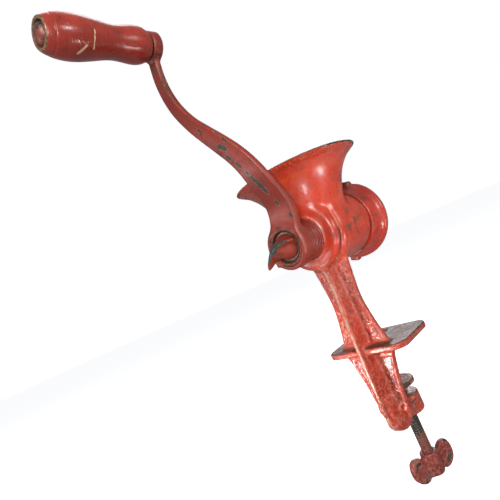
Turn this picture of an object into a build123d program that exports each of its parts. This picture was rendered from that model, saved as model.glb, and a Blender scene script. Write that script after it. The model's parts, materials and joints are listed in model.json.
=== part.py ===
from build123d import *
import math
import os

# Hand-cranked sausage stuffer / meat mincer with a table clamp.  Millimetres, +Z up.
# Origin: on the clamp screw axis, in the plane of the table-rest face (underside of
# the table plate).  +X runs from the crank end to the outlet end of the barrel.

# ---------------------------------------------------------------- driving dimensions
AXIS_Z = 109.0            # height of the barrel axis above the table-rest face

# barrel
BARREL_R = 29.5           # outside radius of the barrel
BARREL_BORE_R = 26.2      # bore for the feed screw
BARREL_REAR_X = -25.0     # front of the rear wall crease
BARREL_FRONT_X = 36.0     # front lip of the barrel
THREAD_R = 29.0           # ring-nut seat radius on the barrel nose
THREAD_START_X = 24.0
FLANGE_X = -30.3          # centre of the rounded rear lip
FLANGE_R = 29.1           # outer radius of the rear lip
LIP_R = 4.8               # rounding radius of the rear lip
REAR_BOSS_R = 17.5        # turned bearing boss behind the lip
REAR_BOSS_X = -52.0       # rear face of the bearing boss
SHAFT_R = 8.0             # feed screw journal
BEARING_BORE_R = 8.06

# hopper (trumpet shaped), about a vertical axis
HOPPER_X = -10.2
HOPPER_TOP_Z = AXIS_Z + 60.0
HOPPER_MOUTH_R = 56.6
HOPPER_WALL = 3.0
HOPPER_PROFILE = [(56.6, 60.0), (47.3, 54.0), (41.6, 48.0), (37.6, 42.0),
                  (34.8, 36.0), (32.6, 30.0), (30.6, 22.0), (29.6, 12.0), (29.0, 0.0)]

# leg: lateral flange (in the YZ plane) with a tapered rib behind it
LEG_REAR_X = -20.4
LEG_FRONT_X = -16.0
LEG_HALF_WIDTHS = [(92.0, 22.0), (84.0, 19.2), (78.0, 18.0), (62.0, 16.0), (52.0, 15.1), (42.0, 15.2),
                   (29.0, 17.0), (18.0, 19.2), (8.0, 21.8), (2.5, 23.0), (-3.0, 22.6), (-8.0, 21.0),
                   (-20.0, 18.2), (-30.0, 16.4), (-45.0, 14.6), (-54.0, 13.2)]
RIB_ROOT_HALF = 5.2
RIB_CREST_HALF = 1.3
RIB_CREST = [(88.0, -32.5), (76.0, -30.2), (66.0, -29.2), (55.0, -29.2), (43.0, -30.4), (30.0, -32.0), (14.0, -33.2),
             (0.0, -33.5), (-14.0, -34.0), (-30.0, -34.8), (-44.0, -35.0), (-54.0, -34.4), (-61.0, -31.8),
             (-66.0, -27.0), (-68.4, -20.5)]
PLATE_T = 5.0             # table plate
PLATE_HALF_W = 38.5
PLATE_REAR_X = -28.4
PLATE_FRONT_X = 26.5
PLATE_CORNER_R = 11.0

# lower jaw and clamp screw (axis = Z axis of the part)
BOSS_R = 14.0
BOSS_TOP_Z = -48.0
BOSS_BOTTOM_Z = -64.0
CLAMP_SCREW_R = 4.75
CLAMP_BORE_R = 4.83
PAD_R = 15.2
PAD_TOP_Z = -36.0
PAD_T = 4.0
CLAMP_PITCH = 2.0
WING_TOP_Z = -101.5
WING_BOTTOM_Z = -123.0
WING_HALF_SPAN = 23.6
WING_ANGLE = -22.0        # direction of the wing about Z at rest

# ring nut, plate and knife
RING_REAR_X = 25.0
RING_RIM_X = 41.8
RING_FRONT_X = 45.8
RING_REAR_R = 31.4
RING_RIM_R = 36.6
RING_HOLE_R = 23.5
LUG_ANGLE = 108.0         # direction of the first lug about X, from +Y toward +Z
DISC_R = 25.9
DISC_T = 6.0
DISC_X = 36.6             # rear face of the perforated disc
KNIFE_T = 5.0

# crank
CRANK_ANGLE = 84.3        # degrees from +Y toward +Z about the barrel axis, at rest
CRANK_R = 190.4           # crank radius
HUB_R = 19.3
HUB_REAR_X = -64.3
HUB_FRONT_X = -53.0
GRIP_FRONT_X = -98.8
GRIP_LEN = 82.5
THUMB_ANGLE = -22.8       # direction of the thumb blade about X at rest

os.makedirs("parts", exist_ok=True)


def cyl_x(r, x0, x1, y=0.0, z=AXIS_Z):
    return Pos(x0, y, z) * Rot(0, 90, 0) * Cylinder(r, x1 - x0, align=(Align.CENTER, Align.CENTER, Align.MIN))


def cyl_z(r, z0, z1, x=0.0, y=0.0):
    return Pos(x, y, z0) * Cylinder(r, z1 - z0, align=(Align.CENTER, Align.CENTER, Align.MIN))


def box(x0, x1, y0, y1, z0, z1):
    return Pos((x0 + x1) / 2, (y0 + y1) / 2, (z0 + z1) / 2) * Box(x1 - x0, y1 - y0, z1 - z0)


def revolve_x(points, z=AXIS_Z, y=0.0):
    # points are (x, radius) pairs of a closed outline, turned about a line along X
    face = make_face(Polyline(*[(x, y, z + r) for x, r in points], close=True))
    return revolve(face, axis=Axis((0, y, z), (1, 0, 0)))


def save(node, solid):
    solid = solid.clean() if hasattr(solid, "clean") else solid
    export_step(solid, "parts/" + node + ".step")


# ================================================================ body casting
# barrel with a rounded rear lip, a crease in front of it and the bearing boss behind
lip = [(FLANGE_X + LIP_R * math.cos(a), FLANGE_R - LIP_R + LIP_R * math.sin(a))
       for a in [math.radians(d) for d in range(0, 181, 20)]]
barrel_outline = ([(BARREL_FRONT_X, 0.0), (BARREL_FRONT_X, THREAD_R), (THREAD_START_X, THREAD_R),
                   (THREAD_START_X, BARREL_R), (BARREL_REAR_X + 4.0, BARREL_R), (BARREL_REAR_X + 1.2, 27.6),
                   (BARREL_REAR_X - 0.2, 26.0)] + lip +
                  [(FLANGE_X - LIP_R, 21.0), (-36.4, REAR_BOSS_R + 0.6), (-39.5, REAR_BOSS_R), (-43.6, REAR_BOSS_R),
                   (-44.2, REAR_BOSS_R - 0.7), (-45.2, REAR_BOSS_R - 0.7), (-45.8, REAR_BOSS_R),
                   (-51.2, REAR_BOSS_R - 0.3), (REAR_BOSS_X, REAR_BOSS_R - 1.1), (REAR_BOSS_X, 0.0)])
barrel = revolve_x(barrel_outline)

# trumpet hopper
outer = make_face(Polyline(*([(HOPPER_X, 0, AXIS_Z)] + [(HOPPER_X, 0, HOPPER_TOP_Z)] +
                  [(HOPPER_X + r, 0, AXIS_Z + z) for r, z in HOPPER_PROFILE]), close=True))
hopper = revolve(outer, axis=Axis((HOPPER_X, 0, 0), (0, 0, 1)))
inner_pts = [(HOPPER_MOUTH_R - 2.6, 61.0), (HOPPER_MOUTH_R - 2.6, 60.0), (44.4, 54.0), (38.6, 48.0), (34.6, 42.0),
             (31.8, 36.0), (29.6, 30.0), (27.4, 22.0), (25.0, 14.0), (23.5, 8.0), (23.5, 0.0)]
inner = make_face(Polyline(*([(HOPPER_X, 0, AXIS_Z), (HOPPER_X, 0, AXIS_Z + 61.0)] +
                  [(HOPPER_X + r, 0, AXIS_Z + z) for r, z in inner_pts]), close=True))
hopper_void = revolve(inner, axis=Axis((HOPPER_X, 0, 0), (0, 0, 1)))

# lateral flange of the leg
flange_pts = [(LEG_REAR_X, w, z) for z, w in LEG_HALF_WIDTHS] + [(LEG_REAR_X, -w, z) for z, w in reversed(LEG_HALF_WIDTHS)]
leg_flange = extrude(make_face(Polyline(*flange_pts, close=True)), amount=LEG_FRONT_X - LEG_REAR_X, dir=(1, 0, 0))

# tapered rib behind the flange: trapezoid in plan cut to the crest line
rib_plan = make_face(Polyline((LEG_REAR_X + 1.0, RIB_ROOT_HALF, -75), (LEG_REAR_X + 1.0, -RIB_ROOT_HALF, -75),
                              (-36.5, -RIB_CREST_HALF, -75), (-36.5, RIB_CREST_HALF, -75), close=True))
rib_block = extrude(rib_plan, amount=180, dir=(0, 0, 1))
rib_side = extrude(make_face(Polyline(*([(x, -20, z) for z, x in RIB_CREST] + [(-12.0, -20, -68.4), (-12.0, -20, 88.0)]), close=True)),
                   amount=40, dir=(0, 1, 0))
rib = rib_block & rib_side

# lower jaw web, from the rib forward to the screw boss
jaw_web = extrude(make_face(Polyline((-30.0, -RIB_ROOT_HALF, -40.0), (-30.0, -RIB_ROOT_HALF, -62.0), (-26.0, -RIB_ROOT_HALF, -67.0),
                                     (-20.5, -RIB_ROOT_HALF, -68.4), (-12.0, -RIB_ROOT_HALF, -68.0), (-4.0, -RIB_ROOT_HALF, -65.6),
                                     (0.0, -RIB_ROOT_HALF, -64.0), (0.0, -RIB_ROOT_HALF, -48.0), (-12.0, -RIB_ROOT_HALF, -48.0),
                                     (-16.0, -RIB_ROOT_HALF, -44.0), (-16.0, -RIB_ROOT_HALF, -40.0), close=True)),
                  amount=2 * RIB_ROOT_HALF, dir=(0, 1, 0))
jaw_web = jaw_web & box(-33, 1, -10, 10, -70, -39)
boss = cyl_z(BOSS_R, BOSS_BOTTOM_Z, BOSS_TOP_Z)
jaw_floor = box(LEG_REAR_X, 0.0, -13.2, 13.2, -60.0, -50.5)

# table plate with rounded corners
plate = extrude(Pos((PLATE_REAR_X + PLATE_FRONT_X) / 2, 0, 0) *
                RectangleRounded(PLATE_FRONT_X - PLATE_REAR_X, 2 * PLATE_HALF_W, PLATE_CORNER_R), amount=PLATE_T)

# gusset in front of the leg, carrying the table plate
gusset = extrude(make_face(Polyline((-17.0, -3.2, 88.0), (-4.0, -3.2, 84.0), (-8.5, -3.2, 60.0), (-9.0, -3.2, 34.0),
                                    (-2.0, -3.2, 18.0), (12.0, -3.2, 8.0), (20.0, -3.2, 4.0), (-17.0, -3.2, 2.0), close=True)),
                 amount=6.4, dir=(0, 1, 0))

casting = barrel + hopper + leg_flange + rib + jaw_web + boss + jaw_floor + plate + gusset
casting = casting - cyl_x(BARREL_BORE_R, -27.0, BARREL_FRONT_X + 1)
casting = casting - hopper_void
casting = casting - cyl_x(BEARING_BORE_R, REAR_BOSS_X - 1, 0)
casting = casting - cyl_z(CLAMP_BORE_R, BOSS_BOTTOM_Z - 6, BOSS_TOP_Z + 1)
# key pin socket in the barrel nose, at the top of the bore
KEY_R = 1.6
key_hole = Pos(30.0, 0, AXIS_Z + 26.6) * Rot(0, 90, 0) * Cylinder(KEY_R, 8.0, align=(Align.CENTER, Align.CENTER, Align.MIN))
casting = casting - key_hole
save("body_casting", casting)

# key pin that stops the perforated disc from turning
key_pin = Pos(31.0, 0, AXIS_Z + 26.6) * Rot(0, 90, 0) * Cylinder(KEY_R - 0.03, 9.2, align=(Align.CENTER, Align.CENTER, Align.MIN))
key_pin = key_pin & cyl_x(27.3, 30.0, 41.0)
save("disc_key_pin", key_pin)

# ================================================================ feed screw
FLIGHT_R = 25.4
FLIGHT_PITCH = 24.0
FLIGHT_START_X = -24.5
FLIGHT_LEN = 50.0
CORE_R = 10.0
collar_f = cyl_x(13.0, -26.4, -24.4)
nose = cyl_x(CORE_R, -26.0, 30.2)
shaft = cyl_x(SHAFT_R, REAR_BOSS_X - 0.6, -26.0)
square_end = box(-59.4, REAR_BOSS_X - 0.4, -5.6, 5.6, AXIS_Z - 5.6, AXIS_Z + 5.6)
# cross-section of the worm: a wide tooth on the core, twisted along the axis
TOOTH = 32.0
c0 = (FLIGHT_START_X, 0, AXIS_Z)


def polar(r, deg):
    a = math.radians(deg)
    return (FLIGHT_START_X, r * math.cos(a), AXIS_Z + r * math.sin(a))


worm_face = make_face([Line(polar(6.0, -TOOTH), polar(FLIGHT_R, -TOOTH * 0.8)),
                       ThreePointArc(polar(FLIGHT_R, -TOOTH * 0.8), polar(FLIGHT_R, 0), polar(FLIGHT_R, TOOTH * 0.8)),
                       Line(polar(FLIGHT_R, TOOTH * 0.8), polar(6.0, TOOTH)),
                       Line(polar(6.0, TOOTH), polar(6.0, -TOOTH))])
flight = Solid.extrude_linear_with_rotation(worm_face.face(), center=c0, normal=(FLIGHT_LEN, 0, 0), angle=360.0 * FLIGHT_LEN / FLIGHT_PITCH)
auger = nose + flight + collar_f + shaft + square_end
# threaded hole for the thumb screw and socket for the front stud
THUMB_THREAD_R = 3.9
auger = auger - cyl_x(THUMB_THREAD_R + 0.08, -60.0, -38.0)
STUD_R = 4.4
auger = auger - cyl_x(STUD_R, 14.0, 31.0)
save("feed_screw", auger)

# front stud: round shank pressed into the feed screw, square for the knife, round tip in the disc
stud = cyl_x(STUD_R, 14.0, 30.2) + box(30.2, 36.4, -4.6, 4.6, AXIS_Z - 4.6, AXIS_Z + 4.6) + cyl_x(4.3, 36.4, 42.0)
save("feed_screw_stud", stud)

# fibre thrust washer between the feed screw collar and the rear wall
thrust = cyl_x(12.5, -26.95, -26.45) - cyl_x(SHAFT_R + 0.06, -28, -25)
save("thrust_washer", thrust)

# four-bladed knife with a square hole
knife = cyl_x(9.0, 31.2, 31.2 + KNIFE_T)
for i in range(4):
    blade = Pos(31.2, 0, AXIS_Z) * Rot(i * 90, 0, 0) * Pos(0, 0, 0) * extrude(
        make_face(Polyline((0, -3.6, 6.0), (0, 4.4, 6.0), (0, 5.6, 24.6), (0, 0.4, 24.9), close=True)), amount=KNIFE_T, dir=(1, 0, 0))
    knife = knife + blade
knife = knife - box(30, 38, -4.65, 4.65, AXIS_Z - 4.65, AXIS_Z + 4.65)
save("cutter_knife", knife)

# perforated disc with a key notch at the top
disc = cyl_x(DISC_R, DISC_X, DISC_X + DISC_T)
holes = None
for ring_r, n in ((9.2, 8), (15.2, 13), (21.4, 19)):
    for k in range(n):
        a = 2 * math.pi * (k + 0.5) / n
        h = cyl_x(2.25, DISC_X - 1, DISC_X + DISC_T + 1, y=ring_r * math.cos(a), z=AXIS_Z + ring_r * math.sin(a))
        holes = h if holes is None else holes + h
disc = disc - holes - cyl_x(4.36, DISC_X - 1, DISC_X + DISC_T + 1)
disc = disc - box(DISC_X - 1, DISC_X + DISC_T + 1, -1.9, 1.9, AXIS_Z + 24.6, AXIS_Z + 30)
save("perforated_disc", disc)

# bell-shaped ring nut with two lugs
ring_outline = [(RING_REAR_X, THREAD_R + 0.08), (RING_REAR_X, RING_REAR_R - 0.5), (RING_REAR_X + 0.5, RING_REAR_R), (29.0, 31.6), (33.0, 32.2),
                (36.5, 33.1), (39.0, 34.4), (40.7, 35.9), (RING_RIM_X, RING_RIM_R), (RING_FRONT_X - 1.0, RING_RIM_R),
                (RING_FRONT_X, RING_RIM_R - 1.0), (RING_FRONT_X, RING_HOLE_R + 1.0), (RING_FRONT_X - 1.0, RING_HOLE_R),
                (DISC_X + DISC_T + 0.05, RING_HOLE_R), (DISC_X + DISC_T + 0.05, 27.6), (BARREL_FRONT_X + 0.3, 27.6),
                (BARREL_FRONT_X + 0.3, THREAD_R + 0.08)]
ring = revolve_x(ring_outline)
for ang in (LUG_ANGLE, LUG_ANGLE + 180):
    a = math.radians(ang)
    lug = Pos(0, 0, AXIS_Z) * Rot(ang - 90, 0, 0) * Pos(0, 0, 0) * box(38.6, 45.3, -4.5, 4.5, 33.0, 38.7)
    ring = ring + lug
save("ring_nut", ring)

# ================================================================ crank
TH = math.radians(CRANK_ANGLE)
ER = Vector(0, math.cos(TH), math.sin(TH))      # along the crank
EN = Vector(0, -math.sin(TH), math.cos(TH))     # across the crank

# arm side view: (radius, x of the middle of the bar, thickness)
ARM_SIDE = [(0.0, -59.5, 8.4), (18.0, -60.0, 8.2), (30.0, -62.3, 7.8), (42.0, -68.0, 7.4), (52.0, -72.8, 7.2), (62.0, -76.2, 7.0),
            (76.0, -79.6, 6.6), (95.0, -83.6, 6.3), (115.0, -87.6, 6.0), (140.0, -91.4, 5.8), (165.0, -93.2, 5.8), (199.0, -93.4, 6.0)]
# arm front view: (radius, sideways offset of the middle, width)
ARM_FRONT = [(0.0, 0.0, 30.0), (14.0, 6.0, 27.5), (27.0, 12.0, 24.6), (40.0, 16.0, 22.2), (53.0, 16.9, 21.6), (66.0, 16.4, 19.9),
             (79.0, 13.3, 18.4), (93.0, 7.6, 17.0), (107.0, 1.2, 15.2), (121.0, -4.8, 13.2), (136.0, -8.8, 12.4), (151.0, -9.8, 11.8),
             (166.0, -8.2, 11.4), (180.0, -4.2, 11.2), (190.4, 0.0, 11.6)]


def crank_point(r, n, x):
    v = ER * r + EN * n
    return Vector(x, v.Y, AXIS_Z + v.Z)


def offset_outline(rows):
    # two sides of a band of varying width about a middle line given as (u, v, width)
    left, right = [], []
    for i, (u, v, w) in enumerate(rows):
        a = rows[max(i - 1, 0)]
        b = rows[min(i + 1, len(rows) - 1)]
        du, dv = b[0] - a[0], b[1] - a[1]
        l = math.hypot(du, dv)
        nu, nv = -dv / l, du / l
        left.append((u + nu * w / 2, v + nv * w / 2))
        right.append((u - nu * w / 2, v - nv * w / 2))
    return left, right


fl, fr = offset_outline(ARM_FRONT)
front_face = make_face([Spline(*[crank_point(u, v, -110) for u, v in fl]),
                        Line(crank_point(*fl[-1], -110), crank_point(*fr[-1], -110)),
                        Spline(*[crank_point(u, v, -110) for u, v in fr]),
                        Line(crank_point(*fl[0], -110), crank_point(*fr[0], -110))])
front_band = extrude(front_face, amount=82, dir=(1, 0, 0))
sl, sr = offset_outline(ARM_SIDE)
side_face = make_face([Spline(*[crank_point(u, -45, v) for u, v in sl]),
                       Line(crank_point(sl[-1][0], -45, sl[-1][1]), crank_point(sr[-1][0], -45, sr[-1][1])),
                       Spline(*[crank_point(u, -45, v) for u, v in sr]),
                       Line(crank_point(sl[0][0], -45, sl[0][1]), crank_point(sr[0][0], -45, sr[0][1]))])
side_band = extrude(side_face, amount=90, dir=tuple(EN))
arm_bar = front_band & side_band

eye_c = crank_point(CRANK_R, 0, 0)
EYE_R = 11.6
EYE_FRONT_X = -89.0
EYE_REAR_X = GRIP_FRONT_X + 0.9
arm_eye = cyl_x(EYE_R, EYE_REAR_X, EYE_FRONT_X, y=eye_c.Y, z=eye_c.Z)
hub = revolve_x([(HUB_REAR_X + 1.2, 0), (HUB_REAR_X + 1.2, HUB_R - 3.2), (HUB_REAR_X, HUB_R - 4.0), (HUB_REAR_X, HUB_R - 2.0),
                 (HUB_REAR_X + 1.6, HUB_R), (HUB_FRONT_X - 1.0, HUB_R), (HUB_FRONT_X, HUB_R - 1.0), (HUB_FRONT_X, 0)])
arm = arm_bar + arm_eye + hub
# recess round the thumb screw, square hole for the feed screw, hole for the spindle
RECESS_R = 13.2
RECESS_X = HUB_REAR_X + 4.2
arm = arm - cyl_x(RECESS_R, HUB_REAR_X - 6, RECESS_X)
arm = arm - box(HUB_REAR_X - 2, HUB_FRONT_X + 2, -5.65, 5.65, AXIS_Z - 5.65, AXIS_Z + 5.65)
SPINDLE_R = 4.0
arm = arm - cyl_x(SPINDLE_R, EYE_REAR_X - 3, EYE_FRONT_X + 3, y=eye_c.Y, z=eye_c.Z)
save("crank_arm", arm)

# washer under the thumb screw
washer = cyl_x(11.6, RECESS_X - 1.6, RECESS_X - 0.02) - cyl_x(THUMB_THREAD_R + 0.1, RECESS_X - 3, RECESS_X + 1)
save("crank_washer", washer)

# thumb screw: collar, curved fan-shaped blade, threaded shank
TS_X = RECESS_X - 1.65
collar = revolve_x([(TS_X, 0), (TS_X, 10.4), (TS_X - 1.4, 10.4), (TS_X - 3.4, 8.4), (TS_X - 7.0, 6.0), (TS_X - 7.0, 0)])
fan = make_face(Polyline((TS_X, -9.0, 0), (TS_X - 1.6, -10.2, 0), (TS_X - 6.0, -13.4, 0), (TS_X - 11.0, -17.2, 0), (TS_X - 14.0, -18.6, 0),
                         (TS_X - 15.2, -17.6, 0), (TS_X - 16.0, -10.0, 0), (TS_X - 16.4, 0, 0), (TS_X - 16.0, 10.0, 0), (TS_X - 15.2, 17.6, 0),
                         (TS_X - 14.0, 18.6, 0), (TS_X - 11.0, 17.2, 0), (TS_X - 6.0, 13.4, 0), (TS_X - 1.6, 10.2, 0), (TS_X, 9.0, 0), close=True))
fan = Pos(0, 0, -10) * extrude(fan, amount=24, dir=(0, 0, 1))
# the blade is bowed: thickness follows an arc, thinner toward its outer edge
BOW = 4.2
outer_arc = [(-20.0, -4.4), (-14.0, -0.4), (-7.0, 2.9), (0.0, 4.6), (7.0, 2.9), (14.0, -0.4), (20.0, -4.4)]
inner_arc = [(20.0, -6.8), (14.0, -3.6), (7.0, -1.4), (0.0, -0.6), (-7.0, -1.4), (-14.0, -3.6), (-20.0, -6.8)]
bow_face = make_face(Polyline(*[(TS_X - 18, y, z) for y, z in outer_arc + inner_arc], close=True))
bow = extrude(bow_face, amount=19, dir=(1, 0, 0))
blade = fan & bow
thumb = collar
thumb_blade = Pos(0, 0, AXIS_Z) * Rot(THUMB_ANGLE, 0, 0) * blade
thumb = thumb + thumb_blade + cyl_x(THUMB_THREAD_R, TS_X - 0.5, -41.0)
save("crank_thumb_screw", thumb)

# handle spindle: rod riveted in the eye, domed head in the grip's end recess
gx1 = GRIP_FRONT_X - GRIP_LEN
spindle = (cyl_x(SPINDLE_R - 0.02, EYE_REAR_X - 1.0, EYE_FRONT_X + 0.2, y=eye_c.Y, z=eye_c.Z) +
           cyl_x(3.9, gx1 + 5.0, EYE_REAR_X - 0.5, y=eye_c.Y, z=eye_c.Z))
head = [(gx1 + 5.4, 0), (gx1 + 5.4, 7.2), (gx1 + 3.6, 7.7), (gx1 + 1.6, 7.4), (gx1 - 0.4, 6.2), (gx1 - 1.8, 4.3), (gx1 - 2.6, 2.2), (gx1 - 2.8, 0)]
spindle = spindle + revolve_x(head, z=eye_c.Z, y=eye_c.Y)
rivet = [(EYE_FRONT_X, 0), (EYE_FRONT_X, 5.8), (EYE_FRONT_X + 1.2, 5.2), (EYE_FRONT_X + 2.2, 3.6), (EYE_FRONT_X + 2.6, 0)]
spindle = spindle + revolve_x(rivet, z=eye_c.Z, y=eye_c.Y)
save("handle_spindle", spindle)

# turned wooden grip: (distance from the arm, radius)
GRIP_PROFILE = [(0.0, 10.0), (0.8, 11.2), (3.0, 12.3), (6.4, 13.5), (10.8, 14.1), (15.6, 13.9), (21.5, 13.1), (27.4, 12.5), (33.2, 12.5),
                (40.0, 13.2), (47.8, 14.3), (55.2, 15.2), (61.5, 15.6), (66.9, 15.4), (71.8, 14.7), (75.7, 13.7), (79.1, 12.4),
                (81.4, 11.2), (82.5, 10.6)]
grip_outer = [(GRIP_FRONT_X - d, r) for d, r in GRIP_PROFILE]
gfront = Spline(*[(x, eye_c.Y, eye_c.Z + r) for x, r in grip_outer])
grip_face = make_face([gfront,
                       Polyline((GRIP_FRONT_X, eye_c.Y, eye_c.Z + 10.0), (GRIP_FRONT_X, eye_c.Y, eye_c.Z + 4.05), (gx1 + 7.2, eye_c.Y, eye_c.Z + 4.05),
                                (gx1 + 7.2, eye_c.Y, eye_c.Z + 8.2), (gx1, eye_c.Y, eye_c.Z + 8.4), (gx1, eye_c.Y, eye_c.Z + 10.6))])
grip = revolve(grip_face, axis=Axis((0, eye_c.Y, eye_c.Z), (1, 0, 0)))
save("handle_grip", grip)

# steel washers at both ends of the grip
gw = cyl_x(7.6, gx1 + 5.6, gx1 + 6.9, y=eye_c.Y, z=eye_c.Z) - cyl_x(4.0, gx1 + 4, gx1 + 8, y=eye_c.Y, z=eye_c.Z)
save("grip_end_washer", gw)
gb = cyl_x(8.8, GRIP_FRONT_X + 0.1, GRIP_FRONT_X + 0.85, y=eye_c.Y, z=eye_c.Z) - cyl_x(4.0, GRIP_FRONT_X - 1, GRIP_FRONT_X + 2, y=eye_c.Y, z=eye_c.Z)
save("grip_base_washer", gb)

# ================================================================ table clamp
# clamp screw: threaded rod, necked journal at the top for the swivel pad
NECK_R = 3.0
screw = cyl_z(CLAMP_SCREW_R, WING_TOP_Z - 14.0, PAD_TOP_Z - PAD_T - 4.5) + cyl_z(NECK_R, PAD_TOP_Z - PAD_T - 4.6, PAD_TOP_Z - 1.0)
# riveted tip above the retaining washer
screw = screw + cyl_z(3.6, PAD_TOP_Z - 1.2, PAD_TOP_Z - 0.5)
retainer = cyl_z(4.3, PAD_TOP_Z - 2.0, PAD_TOP_Z - 1.25) - cyl_z(NECK_R + 0.02, PAD_TOP_Z - 3, PAD_TOP_Z)
save("pad_retaining_washer", retainer)

# swivel pad: round disc with a short socket underneath, retained by the swaged screw tip
pad = cyl_z(PAD_R, PAD_TOP_Z - PAD_T, PAD_TOP_Z) + cyl_z(7.6, PAD_TOP_Z - PAD_T - 4.2, PAD_TOP_Z - PAD_T)
pad = pad - cyl_z(NECK_R + 0.06, PAD_TOP_Z - 12, PAD_TOP_Z + 1) - cyl_z(4.6, PAD_TOP_Z - 2.3, PAD_TOP_Z + 1)
save("clamp_pad", pad)

# wing: hub with two rounded upright paddles
WA = math.radians(WING_ANGLE)
hub_w = cyl_z(7.6, WING_BOTTOM_Z + 2.0, WING_TOP_Z)
paddle_pts = [(0, -4.0), (7.6, -3.4), (11.0, -1.2), (14.6, 1.0), (18.2, 1.2), (21.4, -1.0), (23.3, -5.6), (WING_HALF_SPAN, -10.6), (22.3, -15.6),
              (19.0, -19.4), (14.6, -21.4), (10.6, -21.2), (7.6, -19.6), (0, -20.0)]
wing_out = [(x, -2.9, WING_TOP_Z + z) for x, z in paddle_pts] + [(-x, -2.9, WING_TOP_Z + z) for x, z in reversed(paddle_pts[1:-1])]
wing = extrude(make_face(Polyline(*wing_out, close=True)), amount=5.8, dir=(0, 1, 0)) + hub_w
wing = wing - cyl_z(CLAMP_SCREW_R, WING_TOP_Z - 14.0, WING_TOP_Z + 1)
pin_bore = Pos(0, 0, WING_TOP_Z - 6.0) * Rot(90, 0, 0) * Cylinder(1.5, 30)
wing = wing - pin_bore
wing = Rot(0, 0, WING_ANGLE) * wing
save("clamp_wing", wing)

# cross pin through the wing hub and the screw
pin = Pos(0, 0, WING_TOP_Z - 6.0) * Rot(90, 0, 0) * Cylinder(1.5, 15.0)
pin = Rot(0, 0, WING_ANGLE) * pin
screw2 = screw - pin
save("clamp_screw", screw2)
save("clamp_wing_pin", pin)
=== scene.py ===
import json
import math

import bpy
import numpy as np
from mathutils import Matrix, Vector

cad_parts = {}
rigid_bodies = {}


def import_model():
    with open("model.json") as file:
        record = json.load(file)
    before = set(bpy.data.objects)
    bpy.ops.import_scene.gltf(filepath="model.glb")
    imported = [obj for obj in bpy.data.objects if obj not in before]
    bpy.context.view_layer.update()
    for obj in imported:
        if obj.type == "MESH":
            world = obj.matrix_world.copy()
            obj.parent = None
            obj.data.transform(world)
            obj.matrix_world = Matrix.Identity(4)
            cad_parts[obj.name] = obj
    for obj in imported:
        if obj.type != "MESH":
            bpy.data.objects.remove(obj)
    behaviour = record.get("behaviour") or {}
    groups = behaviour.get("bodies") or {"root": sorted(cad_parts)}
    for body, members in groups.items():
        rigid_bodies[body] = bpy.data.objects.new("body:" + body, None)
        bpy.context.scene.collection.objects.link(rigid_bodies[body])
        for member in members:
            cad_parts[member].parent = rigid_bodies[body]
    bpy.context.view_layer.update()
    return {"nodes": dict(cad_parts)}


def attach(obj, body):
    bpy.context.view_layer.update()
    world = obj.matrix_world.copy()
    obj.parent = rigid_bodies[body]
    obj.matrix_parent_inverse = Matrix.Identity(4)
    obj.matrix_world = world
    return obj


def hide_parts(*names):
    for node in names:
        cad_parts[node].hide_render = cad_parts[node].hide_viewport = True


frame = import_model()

# ------------------------------------------------------------------ camera
cam_data = bpy.data.cameras.new("camera")
cam = bpy.data.objects.new("camera", cam_data)
bpy.context.scene.collection.objects.link(cam)
bpy.context.scene.camera = cam
C_RIGHT = (0.6593518, -0.6359494, -0.4010281)
C_DOWN = (-0.2434643, 0.3240526, -0.9141745)
C_FWD = (0.7113230, 0.7003986, 0.0588337)
C_POS = (-0.3151768, -0.2100393, 0.0991601)
cam.matrix_world = Matrix([[C_RIGHT[i], -C_DOWN[i], -C_FWD[i], C_POS[i]] for i in range(3)] + [[0, 0, 0, 1]])
cam_data.sensor_width = 36.0
cam_data.lens = 412.35329 / 500.0 * 36.0
cam_data.clip_start = 0.01
cam_data.clip_end = 60.0
cam_data.dof.use_dof = False

# ------------------------------------------------------------------ shape tools, in millimetres
AXIS_Z = 109.0


def smin(a, b, k):
    h = np.clip(0.5 + 0.5 * (b - a) / k, 0.0, 1.0)
    return b + (a - b) * h - k * h * (1.0 - h)


def smax(a, b, k):
    return -smin(-a, -b, k)


def step01(v, a, b):
    t = np.clip((v - a) / (b - a), 0.0, 1.0)
    return t * t * (3.0 - 2.0 * t)


def rounded(a, b, r):
    """Intersection of two distances with a true rounding of radius r."""
    u, v = a + r, b + r
    return np.minimum(np.maximum(u, v), 0.0) + np.hypot(np.maximum(u, 0.0), np.maximum(v, 0.0)) - r


def dense(points, n=6, closed=False):
    """Catmull-Rom curve through the points."""
    p = np.array(points, float)
    if closed:
        p = np.vstack([p[-1], p, p[:2]])
    else:
        p = np.vstack([2 * p[0] - p[1], p, 2 * p[-1] - p[-2]])
    out = []
    for i in range(1, len(p) - 2):
        for j in range(n):
            t = j / n
            out.append(0.5 * (2 * p[i] + (p[i + 1] - p[i - 1]) * t + (2 * p[i - 1] - 5 * p[i] + 4 * p[i + 1] - p[i + 2]) * t * t
                              + (3 * p[i] - p[i - 1] - 3 * p[i + 1] + p[i + 2]) * t ** 3))
    if not closed:
        out.append(p[-2])
    return [tuple(q) for q in out]


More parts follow.
